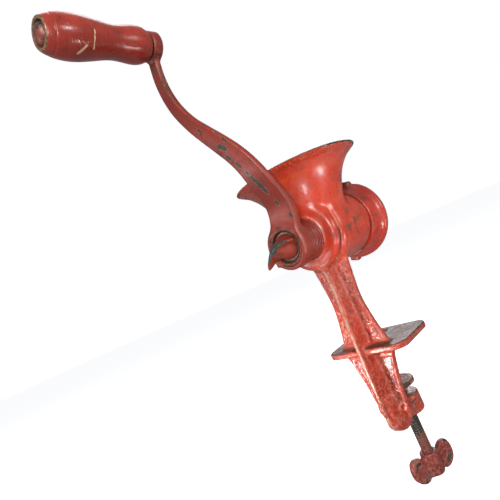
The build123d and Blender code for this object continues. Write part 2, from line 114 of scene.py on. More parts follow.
class Outline:
    """Signed distance to a closed outline, kept as a fine table that is read between its points."""

    def __init__(self, pts, step=0.25, pad=14.0):
        p = np.array(pts, float)
        self.lo = p.min(0) - pad
        hi = p.max(0) + pad
        self.step = step
        n = np.ceil((hi - self.lo) / step).astype(int) + 2
        u = self.lo[0] + np.arange(n[0]) * step
        v = self.lo[1] + np.arange(n[1]) * step
        U, V = np.meshgrid(u, v, indexing="ij")
        best = np.full(U.shape, 1e9)
        inside = np.zeros(U.shape, bool)
        q = np.roll(p, -1, axis=0)
        for (ax, ay), (bx, by) in zip(p, q):
            ex, ey = bx - ax, by - ay
            t = np.clip(((U - ax) * ex + (V - ay) * ey) / max(ex * ex + ey * ey, 1e-12), 0.0, 1.0)
            best = np.minimum(best, (U - ax - t * ex) ** 2 + (V - ay - t * ey) ** 2)
            if ay != by:
                crosses = ((ay > V) != (by > V)) & (U < ex * (V - ay) / ey + ax)
                inside ^= crosses
        d = np.sqrt(best)
        self.t = np.where(inside, -d, d)
        self.n = n

    def __call__(self, u, v):
        a = np.clip((u - self.lo[0]) / self.step, 0.0, self.n[0] - 1.001)
        b = np.clip((v - self.lo[1]) / self.step, 0.0, self.n[1] - 1.001)
        i, j = a.astype(np.int64), b.astype(np.int64)
        a, b = a - i, b - j
        t = self.t
        return (t[i, j] * (1 - a) * (1 - b) + t[i + 1, j] * a * (1 - b) + t[i, j + 1] * (1 - a) * b + t[i + 1, j + 1] * a * b)


def contour(fn, lo, hi, h):
    """Closed mesh of the surface fn = 0: one vertex in each cell that it crosses, then moved onto it."""
    ax = [np.arange(lo[i], hi[i] + h, h) for i in range(3)]
    shape = tuple(len(a) for a in ax)
    F = np.empty(shape)
    Y, Z = np.meshgrid(ax[1], ax[2], indexing="ij")
    slab = max(1, int(400000 / (shape[1] * shape[2])))
    for i in range(0, shape[0], slab):
        xs = ax[0][i:i + slab]
        X = np.broadcast_to(xs[:, None, None], (len(xs), shape[1], shape[2])).ravel()
        n = len(xs)
        F[i:i + slab] = fn(X, np.tile(Y.ravel(), n), np.tile(Z.ravel(), n)).reshape(n, shape[1], shape[2])
    F[np.abs(F) < 1e-6] = 1e-6
    s = F < 0
    count = np.zeros(tuple(k - 1 for k in shape), np.uint8)
    for a in (0, 1):
        for b in (0, 1):
            for c in (0, 1):
                count += s[a:shape[0] - 1 + a, b:shape[1] - 1 + b, c:shape[2] - 1 + c]
    active = (count > 0) & (count < 8)
    cell = np.argwhere(active)
    index = np.full(active.shape, -1, np.int64)
    index[active] = np.arange(len(cell))
    total = np.zeros((len(cell), 3))
    number = np.zeros(len(cell))
    corners = [(a, b, c) for a in (0, 1) for b in (0, 1) for c in (0, 1)]
    for a in corners:
        for b in corners:
            if sum(b) - sum(a) == 1 and all(q >= p for p, q in zip(a, b)):
                fa = F[cell[:, 0] + a[0], cell[:, 1] + a[1], cell[:, 2] + a[2]]
                fb = F[cell[:, 0] + b[0], cell[:, 1] + b[1], cell[:, 2] + b[2]]
                m = (fa < 0) != (fb < 0)
                t = np.where(m, fa / np.where(m, fa - fb, 1.0), 0.0)
                d = np.array(b, float) - np.array(a, float)
                total += m[:, None] * (np.array(a, float) + t[:, None] * d)
                number += m
    P = np.array(lo, float) + (cell + total / number[:, None]) * h
    quads = []
    for axis in range(3):
        o1, o2 = (axis + 1) % 3, (axis + 2) % 3
        sl_a = [slice(None)] * 3
        sl_b = [slice(None)] * 3
        sl_a[axis], sl_b[axis] = slice(0, -1), slice(1, None)
        A, B = s[tuple(sl_a)], s[tuple(sl_b)]
        e = np.argwhere(A != B)
        e = e[(e[:, o1] > 0) & (e[:, o2] > 0) & (e[:, o1] < shape[o1] - 1) & (e[:, o2] < shape[o2] - 1)]
        flip = A[e[:, 0], e[:, 1], e[:, 2]]
        ring = []
        for d1, d2 in ((-1, -1), (0, -1), (0, 0), (-1, 0)):
            c = e.copy()
            c[:, o1] += d1
            c[:, o2] += d2
            ring.append(index[c[:, 0], c[:, 1], c[:, 2]])
        q = np.stack(ring, 1)
        q[~flip] = q[~flip][:, ::-1]
        quads.append(q)
    Q = np.vstack(quads)
    start = P.copy()
    for _ in range(4):
        f = fn(P[:, 0], P[:, 1], P[:, 2])
        g = gradient(fn, P, 0.12)
        P = P - np.clip(f, -h, h)[:, None] * g / np.maximum((g * g).sum(1), 0.15)[:, None] * 0.9
        off = P - start
        length = np.linalg.norm(off, axis=1)
        P = start + off * np.minimum(1.0, 0.75 * h / np.maximum(length, 1e-9))[:, None]
    return P, Q


def gradient(fn, P, e):
    g = np.empty_like(P)
    for i in range(3):
        a, b = P.copy(), P.copy()
        a[:, i] += e
        b[:, i] -= e
        g[:, i] = (fn(a[:, 0], a[:, 1], a[:, 2]) - fn(b[:, 0], b[:, 1], b[:, 2])) / (2 * e)
    return g


def wear_values(fn, P, near=1.1, deep=3.0):
    """edge: how sharply the surface turns outward. cavity_and_shade: how far it is closed in from outside, used to
    paint dirt and shade into the hollows.
    """
    g = gradient(fn, P, 0.15)
    n = g / np.maximum(np.linalg.norm(g, axis=1), 1e-6)[:, None]
    a = P - n * near
    b = P + n * deep
    edge = np.clip((fn(a[:, 0], a[:, 1], a[:, 2]) + near) / near, 0.0, 1.0)
    cavity_and_shade = np.clip((deep - fn(b[:, 0], b[:, 1], b[:, 2])) / deep, 0.0, 1.0)
    return n, edge, cavity_and_shade


def near_spots(P, spots):
    """Largest of 1 at a spot's line falling to 0 at its radius and -1 beyond. A spot is (ax, ay, az, bx, by, bz, radius)."""
    best = np.full(len(P), -1.0)
    for ax, ay, az, bx, by, bz, r in spots:
        a, d = np.array([ax, ay, az]), np.array([bx - ax, by - ay, bz - az])
        t = np.clip((P - a) @ d / max(d @ d, 1e-9), 0.0, 1.0)
        dist = np.linalg.norm(P - a - t[:, None] * d, axis=1)
        best = np.maximum(best, 1.0 - dist / r)
    return np.clip(best, -1.0, 1.0)


def make_object(name, verts_mm, faces, body, replaces, attributes=None):
    mesh = bpy.data.meshes.new(name)
    verts = np.asarray(verts_mm, float) * 0.001
    mesh.from_pydata(verts.tolist(), [], [list(map(int, f)) for f in faces])
    mesh.validate()
    mesh.polygons.foreach_set("use_smooth", [True] * len(mesh.polygons))
    for key, values in (attributes or {}).items():
        layer = mesh.attributes.new(key, "FLOAT", "POINT")
        layer.data.foreach_set("value", np.asarray(values, np.float32))
    mesh.update()
    ob = bpy.data.objects.new(name, mesh)
    bpy.context.scene.collection.objects.link(ob)
    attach(ob, body)
    if replaces:
        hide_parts(*replaces)
    return ob


def lathe(profile, n, origin, axis="x", wobble=None):
    """Turned surface from (along, radius) pairs. The ends at radius 0 close to one vertex."""
    ox, oy, oz = origin
    verts, faces = [], []
    ang = np.arange(n) * 2 * math.pi / n
    rings = []
    for a, r in profile:
        if r < 1e-6:
            rings.append([len(verts)])
            verts.append((ox + a, oy, oz) if axis == "x" else (ox, oy, oz + a))
            continue
        rr = np.full(n, float(r))
        if wobble is not None:
            rr = rr + wobble(a, ang, r)
        rings.append(list(range(len(verts), len(verts) + n)))
        if axis == "x":
            verts += [(ox + a, oy + q * math.cos(t), oz + q * math.sin(t)) for q, t in zip(rr, ang)]
        else:
            verts += [(ox + q * math.cos(t), oy + q * math.sin(t), oz + a) for q, t in zip(rr, ang)]
    for A, B in zip(rings, rings[1:]):
        if len(A) == 1 and len(B) == 1:
            continue
        for i in range(n):
            j = (i + 1) % n
            if len(A) == 1:
                faces.append((A[0], B[i], B[j]))
            elif len(B) == 1:
                faces.append((A[i], B[0], A[j]))
            else:
                faces.append((A[i], B[i], B[j], A[j]))
    return np.array(verts), faces


def outward(ob):
    """Face normals point out of a closed piece."""
    import bmesh
    bm = bmesh.new()
    bm.from_mesh(ob.data)
    bmesh.ops.recalc_face_normals(bm, faces=bm.faces)
    if bm.calc_volume(signed=True) < 0:
        bmesh.ops.reverse_faces(bm, faces=bm.faces)
    bm.to_mesh(ob.data)
    bm.free()
    return ob


# ------------------------------------------------------------------ materials
def material(name):
    m = bpy.data.materials.new(name)
    m.use_nodes = True
    t = m.node_tree
    t.nodes.clear()
    return m, Nodes(t)


class Nodes:
    def __init__(self, tree):
        self.t = tree
        out = self.new("ShaderNodeOutputMaterial")
        self.bsdf = self.new("ShaderNodeBsdfPrincipled")
        tree.links.new(self.bsdf.outputs[0], out.inputs[0])
        self.co = self.new("ShaderNodeTexCoord").outputs["Object"]

    def new(self, kind, **props):
        n = self.t.nodes.new(kind)
        for k, v in props.items():
            setattr(n, k, v)
        return n

    def put(self, socket, value):
        if isinstance(value, (int, float)):
            socket.default_value = value
        elif isinstance(value, (tuple, list)):
            socket.default_value = tuple(value) + ((1.0,) if len(value) == 3 and len(socket.default_value) == 4 else ())
        else:
            self.t.links.new(value, socket)

    def moved(self, offset, stretch=(1, 1, 1)):
        n = self.new("ShaderNodeMapping")
        self.put(n.inputs["Vector"], self.co)
        n.inputs["Location"].default_value = offset
        n.inputs["Scale"].default_value = stretch
        return n.outputs[0]

    def noise(self, scale, detail=4.0, rough=0.55, warp=0.0, vector=None):
        n = self.new("ShaderNodeTexNoise")
        self.put(n.inputs["Vector"], vector if vector is not None else self.co)
        n.inputs["Scale"].default_value = scale
        n.inputs["Detail"].default_value = detail
        n.inputs["Roughness"].default_value = rough
        n.inputs["Distortion"].default_value = warp
        return n.outputs["Fac"]

    def cells(self, scale, vector=None, feature="F1", smooth=None):
        n = self.new("ShaderNodeTexVoronoi")
        n.feature = feature
        self.put(n.inputs["Vector"], vector if vector is not None else self.co)
        n.inputs["Scale"].default_value = scale
        if smooth is not None and "Smoothness" in n.inputs:
            n.inputs["Smoothness"].default_value = smooth
        return n.outputs["Distance"]

    def attr(self, name):
        n = self.new("ShaderNodeAttribute")
        n.attribute_name = name
        return n.outputs["Fac"]

    def math(self, op, a, b=0.0, c=None, clamp=False):
        n = self.new("ShaderNodeMath")
        n.operation = op
        n.use_clamp = clamp
        self.put(n.inputs[0], a)
        self.put(n.inputs[1], b)
        if c is not None:
            self.put(n.inputs[2], c)
        return n.outputs[0]

    def ramp(self, value, a, b, lo=0.0, hi=1.0):
        n = self.new("ShaderNodeMapRange")
        n.interpolation_type = "SMOOTHSTEP"
        self.put(n.inputs["Value"], value)
        n.inputs["From Min"].default_value = a
        n.inputs["From Max"].default_value = b
        n.inputs["To Min"].default_value = lo
        n.inputs["To Max"].default_value = hi
        return n.outputs["Result"]

    def mix(self, fac, a, b):
        n = self.new("ShaderNodeMix")
        n.data_type = "RGBA"
        n.clamp_factor = True
        self.put(n.inputs[0], fac)
        self.put(n.inputs[6], a)
        self.put(n.inputs[7], b)
        return n.outputs[2]

    def bump(self, height_mm, strength=1.0):
        n = self.new("ShaderNodeBump")
        n.inputs["Strength"].default_value = strength
        n.inputs["Distance"].default_value = 0.001
        self.put(n.inputs["Height"], height_mm)
        self.put(self.bsdf.inputs["Normal"], n.outputs[0])

    def axis(self, which):
        n = self.new("ShaderNodeSeparateXYZ")
        self.put(n.inputs[0], self.co)
        return n.outputs[which]


IRON = (0.026, 0.031, 0.026)
IRON_LIGHT = (0.085, 0.092, 0.078)
RUST = (0.055, 0.024, 0.012)


def enamel(name, bright, mid, dark, wear=0.62, rough=0.30, cast=0.5, seed=0.0, dirt_and_shade=0.25, coat=0.12, dust=0.22):
    """Old gloss enamel on cast iron: uneven colour, dirt and painted shade in the hollows, painted glints on rough-cast
    peaks, painted shade in their pits, chips down to dark iron along edges and at marked spots.
    """
    m, N = material(name)
    big = N.noise(26.0, 3.0, 0.5, vector=N.moved((seed, seed * 0.7, -seed)))
    mott = N.noise(120.0, 5.0, 0.62, vector=N.moved((-seed, 1.3, seed)))
    fine = N.noise(520.0, 3.0, 0.6)
    grit = N.noise(900.0, 4.0, 0.7)
    pits = N.cells(430.0, feature="SMOOTH_F1", smooth=0.35)
    edge, cavity_and_shade = N.attr("edge"), N.attr("cavity_and_shade")
    chip, field, grime_and_shade = N.attr("chip"), N.attr("field"), N.attr("grime_and_shade")
    base = N.mix(N.ramp(big, 0.35, 0.66), mid, bright)
    base = N.mix(N.math("MULTIPLY", N.ramp(mott, 0.50, 0.74), 0.55), base, dark)
    # thin, more orange enamel where it was drawn off the outer edges
    orange = (min(bright[0] * 1.10, 0.85), bright[1] * 1.45 + 0.008, bright[2] * 1.25)
    base = N.mix(N.math("MULTIPLY", N.ramp(edge, 0.06, 0.30), N.ramp(mott, 0.30, 0.62, 0.10, 0.75)), base, orange)
    # rough-cast fields: painted glints on the peaks and painted shade in the pits
    glinting_peaks = N.ramp(N.noise(430.0, 4.0, 0.66, vector=N.moved((0.4, seed, 0.0))), 0.49, 0.58)
    base = N.mix(N.math("MULTIPLY", N.math("MULTIPLY", glinting_peaks, field), 0.80), base, (0.78, 0.28, 0.19))
    shaded_holes = N.ramp(N.noise(480.0, 3.0, 0.7, vector=N.moved((1.9, 0.3, seed))), 0.52, 0.62)
    base = N.mix(N.math("MULTIPLY", N.math("MULTIPLY", shaded_holes, field), 0.80), base, (0.16, 0.022, 0.012))
    # pale streak: partly worn paint, partly a painted highlight along the rib crest
    pale_wear_highlight = N.math("MULTIPLY", N.attr("pale_wear_highlight"), N.ramp(N.math("ADD", mott, N.math("MULTIPLY", N.math("SUBTRACT", fine, 0.5), 0.8)), 0.36, 0.56))
    base = N.mix(N.math("MULTIPLY", pale_wear_highlight, 0.85), base, (0.42, 0.25, 0.15))
    # a little dust makes the red duller in patches
    base = N.mix(N.math("MULTIPLY", N.ramp(N.noise(64.0, 4.0, 0.6, vector=N.moved((seed, 2.0, 1.0))), 0.44, 0.70), dust), base, (0.42, 0.16, 0.11))
    # dirt and painted shade in the hollows, from the cavity measure
    soot_and_shade = N.math("MULTIPLY", N.ramp(N.math("ADD", cavity_and_shade, N.math("MULTIPLY", N.math("SUBTRACT", mott, 0.5), 0.9)), 0.38, 0.95), dirt_and_shade * 2.0, clamp=True)
    base = N.mix(soot_and_shade, base, (0.050, 0.010, 0.007))
    # dark smear: real dirt at marked spots, and painted shade on plate tops, in bores, on upper faces and near the hub
    smear_and_shade = N.math("MULTIPLY", N.ramp(N.math("ADD", grime_and_shade, N.math("MULTIPLY", N.math("SUBTRACT", mott, 0.5), 2.4)), 0.22, 0.80), 0.85)
    base = N.mix(smear_and_shade, base, (0.060, 0.030, 0.014))
    # turned rings: darker bands in their grooves
    wave = N.math("SINE", N.math("MULTIPLY", N.math("ADD", N.axis(0), N.math("MULTIPLY", N.noise(90.0, 2.0), 0.0006)), 2 * math.pi / 0.0021))
    base = N.mix(N.math("MULTIPLY", N.math("MULTIPLY", N.ramp(wave, 0.5, -0.7), N.attr("turned")), 0.75), base, (0.040, 0.012, 0.008))
    # chips
    level = N.math("ADD", N.math("MULTIPLY", edge, 1.25), N.math("MULTIPLY", N.math("SUBTRACT", mott, 0.5), 2.1))
    level = N.math("ADD", level, N.math("MULTIPLY", N.math("SUBTRACT", fine, 0.5), 0.7))
    level = N.math("MAXIMUM", level, N.math("ADD", N.math("MULTIPLY", chip, 1.5), N.math("ADD", N.math("MULTIPLY", N.math("SUBTRACT", mott, 0.5), 1.3), N.math("MULTIPLY", N.math("SUBTRACT", fine, 0.5), 1.0))))
    bare = N.ramp(level, wear, wear + 0.045)
    rim = N.ramp(level, wear - 0.11, wear - 0.02)
    base = N.mix(N.math("MULTIPLY", rim, 0.55), base, (0.62, 0.17, 0.10))
    metal = N.mix(N.ramp(grit, 0.38, 0.66), IRON, IRON_LIGHT)
    metal = N.mix(N.math("MULTIPLY", N.ramp(mott, 0.44, 0.62), 0.5), metal, RUST)
    base = N.mix(bare, base, metal)
    N.put(N.bsdf.inputs["Base Color"], base)
    r = N.math("ADD", N.ramp(mott, 0.3, 0.75, rough - 0.05, rough + 0.14), N.math("MULTIPLY", N.math("ADD", soot_and_shade, smear_and_shade), 0.30))
    r = N.math("SUBTRACT", r, N.math("MULTIPLY", field, 0.06))
    r = N.math("MAXIMUM", r, N.math("MULTIPLY", bare, 0.46), clamp=True)
    N.put(N.bsdf.inputs["Roughness"], r)
    N.put(N.bsdf.inputs["Metallic"], N.math("MULTIPLY", bare, 0.35))
    N.bsdf.inputs["Coat Weight"].default_value = coat
    N.bsdf.inputs["Coat Roughness"].default_value = 0.16
    N.bsdf.inputs["IOR"].default_value = 1.5
    h = N.math("MULTIPLY", N.noise(300.0, 2.0, 0.5), 0.34 * cast)
    h = N.math("ADD", h, N.math("MULTIPLY", fine, 0.10 * cast))
    h = N.math("ADD", h, N.math("MULTIPLY", N.math("MULTIPLY", N.math("SUBTRACT", glinting_peaks, shaded_holes), field), 0.34))
    h = N.math("ADD", h, N.math("MULTIPLY", N.math("MULTIPLY", pits, field), 0.30))
    turned = N.math("SINE", N.math("MULTIPLY", N.math("ADD", N.axis(0), N.math("MULTIPLY", N.noise(90.0, 2.0), 0.0006)), 2 * math.pi / 0.0021))
    h = N.math("ADD", h, N.math("MULTIPLY", N.math("MULTIPLY", turned, N.attr("turned")), 0.20))
    h = N.math("SUBTRACT", h, N.math("MULTIPLY", bare, 0.13))
    h = N.math("ADD", h, N.math("MULTIPLY", N.math("MULTIPLY", grit, bare), 0.05))
    N.bump(h)
    return m


def steel(name, light, dark, rough=0.34, metallic=0.9, ring_axis=None, rust=0.2, scale=1.0, center=None, lines=0.03):
    """Worn steel or iron: turned or ground marks, stains and light rust."""
    m, N = material(name)
    big = N.noise(70.0 * scale, 4.0, 0.6)
    fine = N.noise(700.0 * scale, 4.0, 0.65)
    stain = N.noise(190.0 * scale, 5.0, 0.7, 0.6)
    base = N.mix(N.ramp(big, 0.34, 0.68), dark, light)
    base = N.mix(N.math("MULTIPLY", N.ramp(fine, 0.45, 0.75), 0.45), base, tuple(min(1.0, c * 1.35) for c in light))
    rusty = N.math("MULTIPLY", N.ramp(stain, 0.52, 0.70), rust)
    base = N.mix(rusty, base, (0.16, 0.060, 0.024))
    N.put(N.bsdf.inputs["Base Color"], base)
    N.put(N.bsdf.inputs["Metallic"], N.math("SUBTRACT", metallic, N.math("MULTIPLY", rusty, 0.6), clamp=True))
    N.put(N.bsdf.inputs["Roughness"], N.math("ADD", N.ramp(stain, 0.3, 0.75, rough - 0.06, rough + 0.16), N.math("MULTIPLY", rusty, 0.25), clamp=True))
    h = N.math("ADD", N.math("MULTIPLY", fine, 0.035), N.math("MULTIPLY", stain, 0.05))
    if ring_axis is not None:
        # turned rings about a line along X through center
        s = N.new("ShaderNodeSeparateXYZ")
        N.put(s.inputs[0], N.co)
        a = N.math("SUBTRACT", s.outputs[1], center[0])
        b = N.math("SUBTRACT", s.outputs[2], center[1])
        rad = N.math("SQRT", N.math("ADD", N.math("MULTIPLY", a, a), N.math("MULTIPLY", b, b)))
        w = N.math("SINE", N.math("MULTIPLY", N.math("ADD", rad, N.math("MULTIPLY", N.noise(400.0, 2.0), 0.0002)), 2 * math.pi / 0.0007))
        h = N.math("ADD", h, N.math("MULTIPLY", w, lines))
    N.bump(h)
    return m


M_CAST = enamel("old_red_enamel", (0.44, 0.035, 0.013), (0.32, 0.024, 0.010), (0.14, 0.011, 0.007), wear=0.84, rough=0.27, cast=0.5, seed=0.3, dirt_and_shade=0.22)
M_CRANK = enamel("crank_red_enamel", (0.245, 0.024, 0.011), (0.165, 0.017, 0.009), (0.075, 0.010, 0.008), wear=0.76, rough=0.42, cast=0.08, seed=1.7, dirt_and_shade=0.24, coat=0.06, dust=0.05)
M_RING = enamel("ring_red_enamel", (0.40, 0.028, 0.014), (0.29, 0.019, 0.010), (0.13, 0.010, 0.007), wear=0.66, rough=0.26, cast=0.32, seed=3.1, dirt_and_shade=0.20)
M_WING = enamel("wing_maroon_enamel", (0.23, 0.026, 0.018), (0.13, 0.016, 0.012), (0.055, 0.010, 0.008), wear=0.52, rough=0.40, cast=0.60, seed=4.9, dirt_and_shade=0.30)
M_STEEL = steel("dark_oiled_steel", (0.22, 0.19, 0.16), (0.09, 0.075, 0.062), rough=0.40, metallic=0.75, rust=0.55)
M_BRIGHT = steel("ground_steel", (0.60, 0.59, 0.56), (0.40, 0.39, 0.37), rough=0.30, metallic=0.95, rust=0.22, ring_axis=True, center=(0.0, 0.109), lines=0.012)
M_TIN = steel("tinned_cast_iron", (0.50, 0.49, 0.46), (0.27, 0.26, 0.24), rough=0.42, metallic=0.85, rust=0.30, scale=0.8)


def fibre():
    m, N = material("pressed_fibre")
    v = N.moved((0, 0, 0), (3.0, 1.0, 1.0))
    a = N.noise(500.0, 5.0, 0.7, vector=v)
    b = N.cells(600.0, vector=v)
    N.put(N.bsdf.inputs["Base Color"], N.mix(N.ramp(a, 0.35, 0.7), (0.10, 0.045, 0.022), (0.24, 0.12, 0.06)))
    N.put(N.bsdf.inputs["Roughness"], N.ramp(a, 0.3, 0.8, 0.62, 0.85))
    N.bump(N.math("ADD", N.math("MULTIPLY", a, 0.08), N.math("MULTIPLY", b, 0.06)))
    return m


M_FIBRE = fibre()


def grip_material():
    """Dark red paint over turned hardwood, rubbed through at the far end and in two scratches."""
    m, N = material("painted_turned_wood")
    grain_v = N.moved((0, 0, 0), (0.10, 1.0, 1.0))
    grain = N.noise(620.0, 5.0, 0.62, 0.4, vector=grain_v)
    big = N.noise(34.0, 4.0, 0.55)
    mott = N.noise(150.0, 5.0, 0.65)
    fine = N.noise(900.0, 3.0, 0.6)
    chip, end, scratch = N.attr("chip"), N.attr("end"), N.attr("scratch")
    paint = N.mix(N.ramp(big, 0.36, 0.66), (0.26, 0.024, 0.013), (0.40, 0.040, 0.022))
    paint = N.mix(N.math("MULTIPLY", N.ramp(mott, 0.50, 0.72), 0.55), paint, (0.11, 0.011, 0.008))
    paint = N.mix(N.math("MULTIPLY", N.ramp(grain, 0.54, 0.70), 0.30), paint, (0.15, 0.020, 0.014))
    wood = N.mix(N.ramp(grain, 0.35, 0.68), (0.20, 0.105, 0.045), (0.55, 0.36, 0.19))
    old = N.mix(N.ramp(grain, 0.40, 0.66), (0.10, 0.045, 0.020), (0.30, 0.15, 0.055))
    worn_end = N.ramp(N.math("ADD", end, N.math("MULTIPLY", N.math("SUBTRACT", mott, 0.5), 0.9)), 0.44, 0.60)
    base = N.mix(worn_end, paint, old)
    lvl = N.math("ADD", scratch, N.math("MULTIPLY", N.math("SUBTRACT", N.noise(420.0, 3.0, 0.6), 0.5), 0.9))
    cut = N.ramp(lvl, 0.34, 0.44)
    base = N.mix(cut, base, (0.62, 0.40, 0.22))
    lv2 = N.math("ADD", chip, N.math("MULTIPLY", N.math("SUBTRACT", mott, 0.5), 1.6))
    spots = N.ramp(lv2, 0.42, 0.50)
    base = N.mix(spots, base, wood)
    N.put(N.bsdf.inputs["Base Color"], base)
    r = N.math("ADD", N.ramp(mott, 0.3, 0.75, 0.22, 0.36), N.math("MULTIPLY", N.math("MAXIMUM", worn_end, N.math("MAXIMUM", cut, spots)), 0.26), clamp=True)
    N.put(N.bsdf.inputs["Roughness"], r)
    N.bsdf.inputs["Coat Weight"].default_value = 0.25
    N.bsdf.inputs["Coat Roughness"].default_value = 0.14
    h = N.math("ADD", N.math("MULTIPLY", grain, 0.09), N.math("MULTIPLY", fine, 0.02))
    # turning marks round the grip
    w = N.math("SINE", N.math("MULTIPLY", N.math("ADD", N.axis(0), N.math("MULTIPLY", N.noise(60.0, 2.0), 0.0008)), 2 * math.pi / 0.0013))
    h = N.math("ADD", h, N.math("MULTIPLY", w, 0.012))
    h = N.math("SUBTRACT", h, N.math("MULTIPLY", N.math("MAXIMUM", cut, spots), 0.12))
    N.bump(h)
    return m


def screw_material():
    """Dark threaded rod: worn crests, red paint and rust left in the lower valleys."""
    m, N = material("threaded_iron")
    valley = N.attr("valley")
    low = N.attr("low")
    mott = N.noise(160.0, 5.0, 0.65)
    fine = N.noise(1000.0, 4.0, 0.65)
    base = N.mix(N.ramp(fine, 0.36, 0.66), (0.035, 0.030, 0.026), (0.10, 0.085, 0.072))
    crest = N.math("MULTIPLY", N.ramp(valley, 0.35, 0.05), N.ramp(mott, 0.34, 0.60, 0.3, 1.0))
    base = N.mix(N.math("MULTIPLY", crest, 0.7), base, (0.17, 0.15, 0.13))
    red = N.math("MULTIPLY", N.ramp(N.math("ADD", N.math("MULTIPLY", low, 0.9), N.math("MULTIPLY", N.math("SUBTRACT", mott, 0.5), 1.6)), 0.25, 0.60), N.ramp(valley, 0.25, 0.75, 0.35, 1.0))
    base = N.mix(N.math("MULTIPLY", red, 0.85), base, (0.24, 0.040, 0.022))
    N.put(N.bsdf.inputs["Base Color"], base)
    N.put(N.bsdf.inputs["Metallic"], N.math("SUBTRACT", 0.75, N.math("MULTIPLY", red, 0.7), clamp=True))
    N.put(N.bsdf.inputs["Roughness"], N.ramp(mott, 0.3, 0.75, 0.34, 0.55))
    N.bump(N.math("ADD", N.math("MULTIPLY", fine, 0.06), N.math("MULTIPLY", mott, 0.06)))
    return m


def spindle_material():
    """Steel spindle; its domed head keeps some red paint."""
    m, N = material("spindle_steel")
    mott = N.noise(230.0, 5.0, 0.65)
    fine = N.noise(900.0, 4.0, 0.65)
    base = N.mix(N.ramp(fine, 0.36, 0.66), (0.055, 0.045, 0.040), (0.18, 0.15, 0.13))
    red = N.ramp(N.math("ADD", N.attr("head"), N.math("MULTIPLY", N.math("SUBTRACT", mott, 0.5), 2.2)), 0.55, 0.80)
    base = N.mix(N.math("MULTIPLY", red, 0.8), base, (0.26, 0.040, 0.025))
    N.put(N.bsdf.inputs["Base Color"], base)
    N.put(N.bsdf.inputs["Metallic"], N.math("SUBTRACT", 0.7, N.math("MULTIPLY", red, 0.6), clamp=True))
    N.put(N.bsdf.inputs["Roughness"], N.ramp(mott, 0.3, 0.75, 0.28, 0.48))
    N.bump(N.math("ADD", N.math("MULTIPLY", fine, 0.05), N.math("MULTIPLY", mott, 0.10)))
    return m


M_GRIP = grip_material()
M_SCREW = screw_material()
M_SPINDLE = spindle_material()
M_PAD = enamel("pad_worn_enamel", (0.34, 0.050, 0.034), (0.20, 0.032, 0.024), (0.07, 0.018, 0.014), wear=0.42, rough=0.42, cast=0.55, seed=6.3, dirt_and_shade=0.30)


# ------------------------------------------------------------------ body casting
def lip_arc():
    return [(-30.3 + 4.8 * math.cos(math.radians(d)), 24.3 + 4.8 * math.sin(math.radians(d))) for d in range(0, 181, 12)]


BARREL = Outline([(36.0, -20.0), (36.0, 28.6), (35.6, 29.0), (24.0, 29.0), (23.6, 29.5), (-20.6, 29.5), (-22.4, 28.9), (-23.8, 27.6), (-24.9, 26.0)] + lip_arc() +
                 [(-35.1, 21.4), (-35.6, 19.4), (-36.6, 18.1), (-39.5, 17.5), (-43.6, 17.5), (-44.2, 16.8), (-45.2, 16.8), (-45.8, 17.5), (-51.2, 17.2), (-52.0, 16.4), (-52.0, -20.0)])
HOP_OUT = dense([(56.6, 60.0), (51.6, 56.9), (47.3, 54.0), (41.6, 48.0), (37.6, 42.0), (34.8, 36.0), (32.6, 30.0), (30.6, 22.0), (29.6, 12.0), (29.0, 0.0)])
HOPPER = Outline([(-20.0, 0.0), (-20.0, 60.0)] + HOP_OUT, pad=16.0)
HOP_IN = dense([(54.4, 60.4), (49.0, 57.2), (44.4, 54.0), (38.6, 48.0), (34.6, 42.0), (31.8, 36.0), (29.6, 30.0), (27.4, 22.0), (25.0, 14.0), (23.5, 8.0), (23.5, 0.0)])
HOPPER_VOID = Outline([(-20.0, 0.0), (-20.0, 70.0), (56.5, 70.0), (56.0, 61.6)] + HOP_IN, pad=16.0)
LEG_W = [(92.0, 22.0), (84.0, 19.2), (78.0, 18.0), (62.0, 16.0), (52.0, 15.1), (42.0, 15.2), (29.0, 17.0), (18.0, 19.2), (8.0, 21.8), (2.5, 23.0),
         (-3.0, 22.6), (-8.0, 21.0), (-20.0, 18.2), (-30.0, 16.4), (-45.0, 14.6), (-54.0, 13.2)]
leg_side = dense([(w, z) for z, w in LEG_W], 4)
LEG = Outline(leg_side + [(-a, b) for a, b in reversed(leg_side)])
RIB_X = [(88.0, -32.5), (76.0, -30.2), (66.0, -29.2), (55.0, -29.2), (43.0, -30.4), (30.0, -32.0), (14.0, -33.2), (0.0, -33.5), (-14.0, -34.0),
         (-30.0, -34.8), (-44.0, -35.0), (-54.0, -34.4), (-61.0, -31.8), (-66.0, -27.0), (-68.4, -20.5)]
RIB = Outline(dense([(x, z) for z, x in RIB_X], 5) + [(-12.0, -68.4), (-12.0, 88.0)])
JAW = Outline([(-30.0, -40.0), (-30.0, -62.0), (-26.0, -67.0), (-20.5, -68.4), (-12.0, -68.0), (-4.0, -65.6), (3.0, -63.0), (3.0, -49.5), (-10.5, -49.5), (-14.5, -46.0), (-16.0, -40.0)])
GUSSET = Outline(dense([(-17.0, 88.0), (-4.0, 84.0), (-8.5, 60.0), (-9.0, 34.0), (-2.0, 18.0), (12.0, 8.0), (20.0, 3.0)], 5) + [(-17.0, 2.0)])


def leg_parts(x, y, z):
    leg2 = LEG(y, z)
    leg = rounded(leg2, np.abs(x + 18.2) - 2.2, 1.1)
    half = np.interp(x, [-36.5, -19.4], [1.1, 5.4])
    rib = rounded(RIB(x, z), (np.abs(y) - half) * 0.97, 0.9)
    return leg2, leg, rib


def field_value(x, y, z, leg2):
    """Sunk rough-cast fields on the rear face of the leg, each side of the rib, above and below the table plate."""
    a = np.abs(y)
    inset = np.minimum(-leg2 - 2.6, a - 6.6)
    up = np.minimum(np.minimum(inset, z - 9.5), 72.0 - z)
    down = np.minimum(np.minimum(inset, -6.5 - z), z + 50.0)
    return np.maximum(up, down)


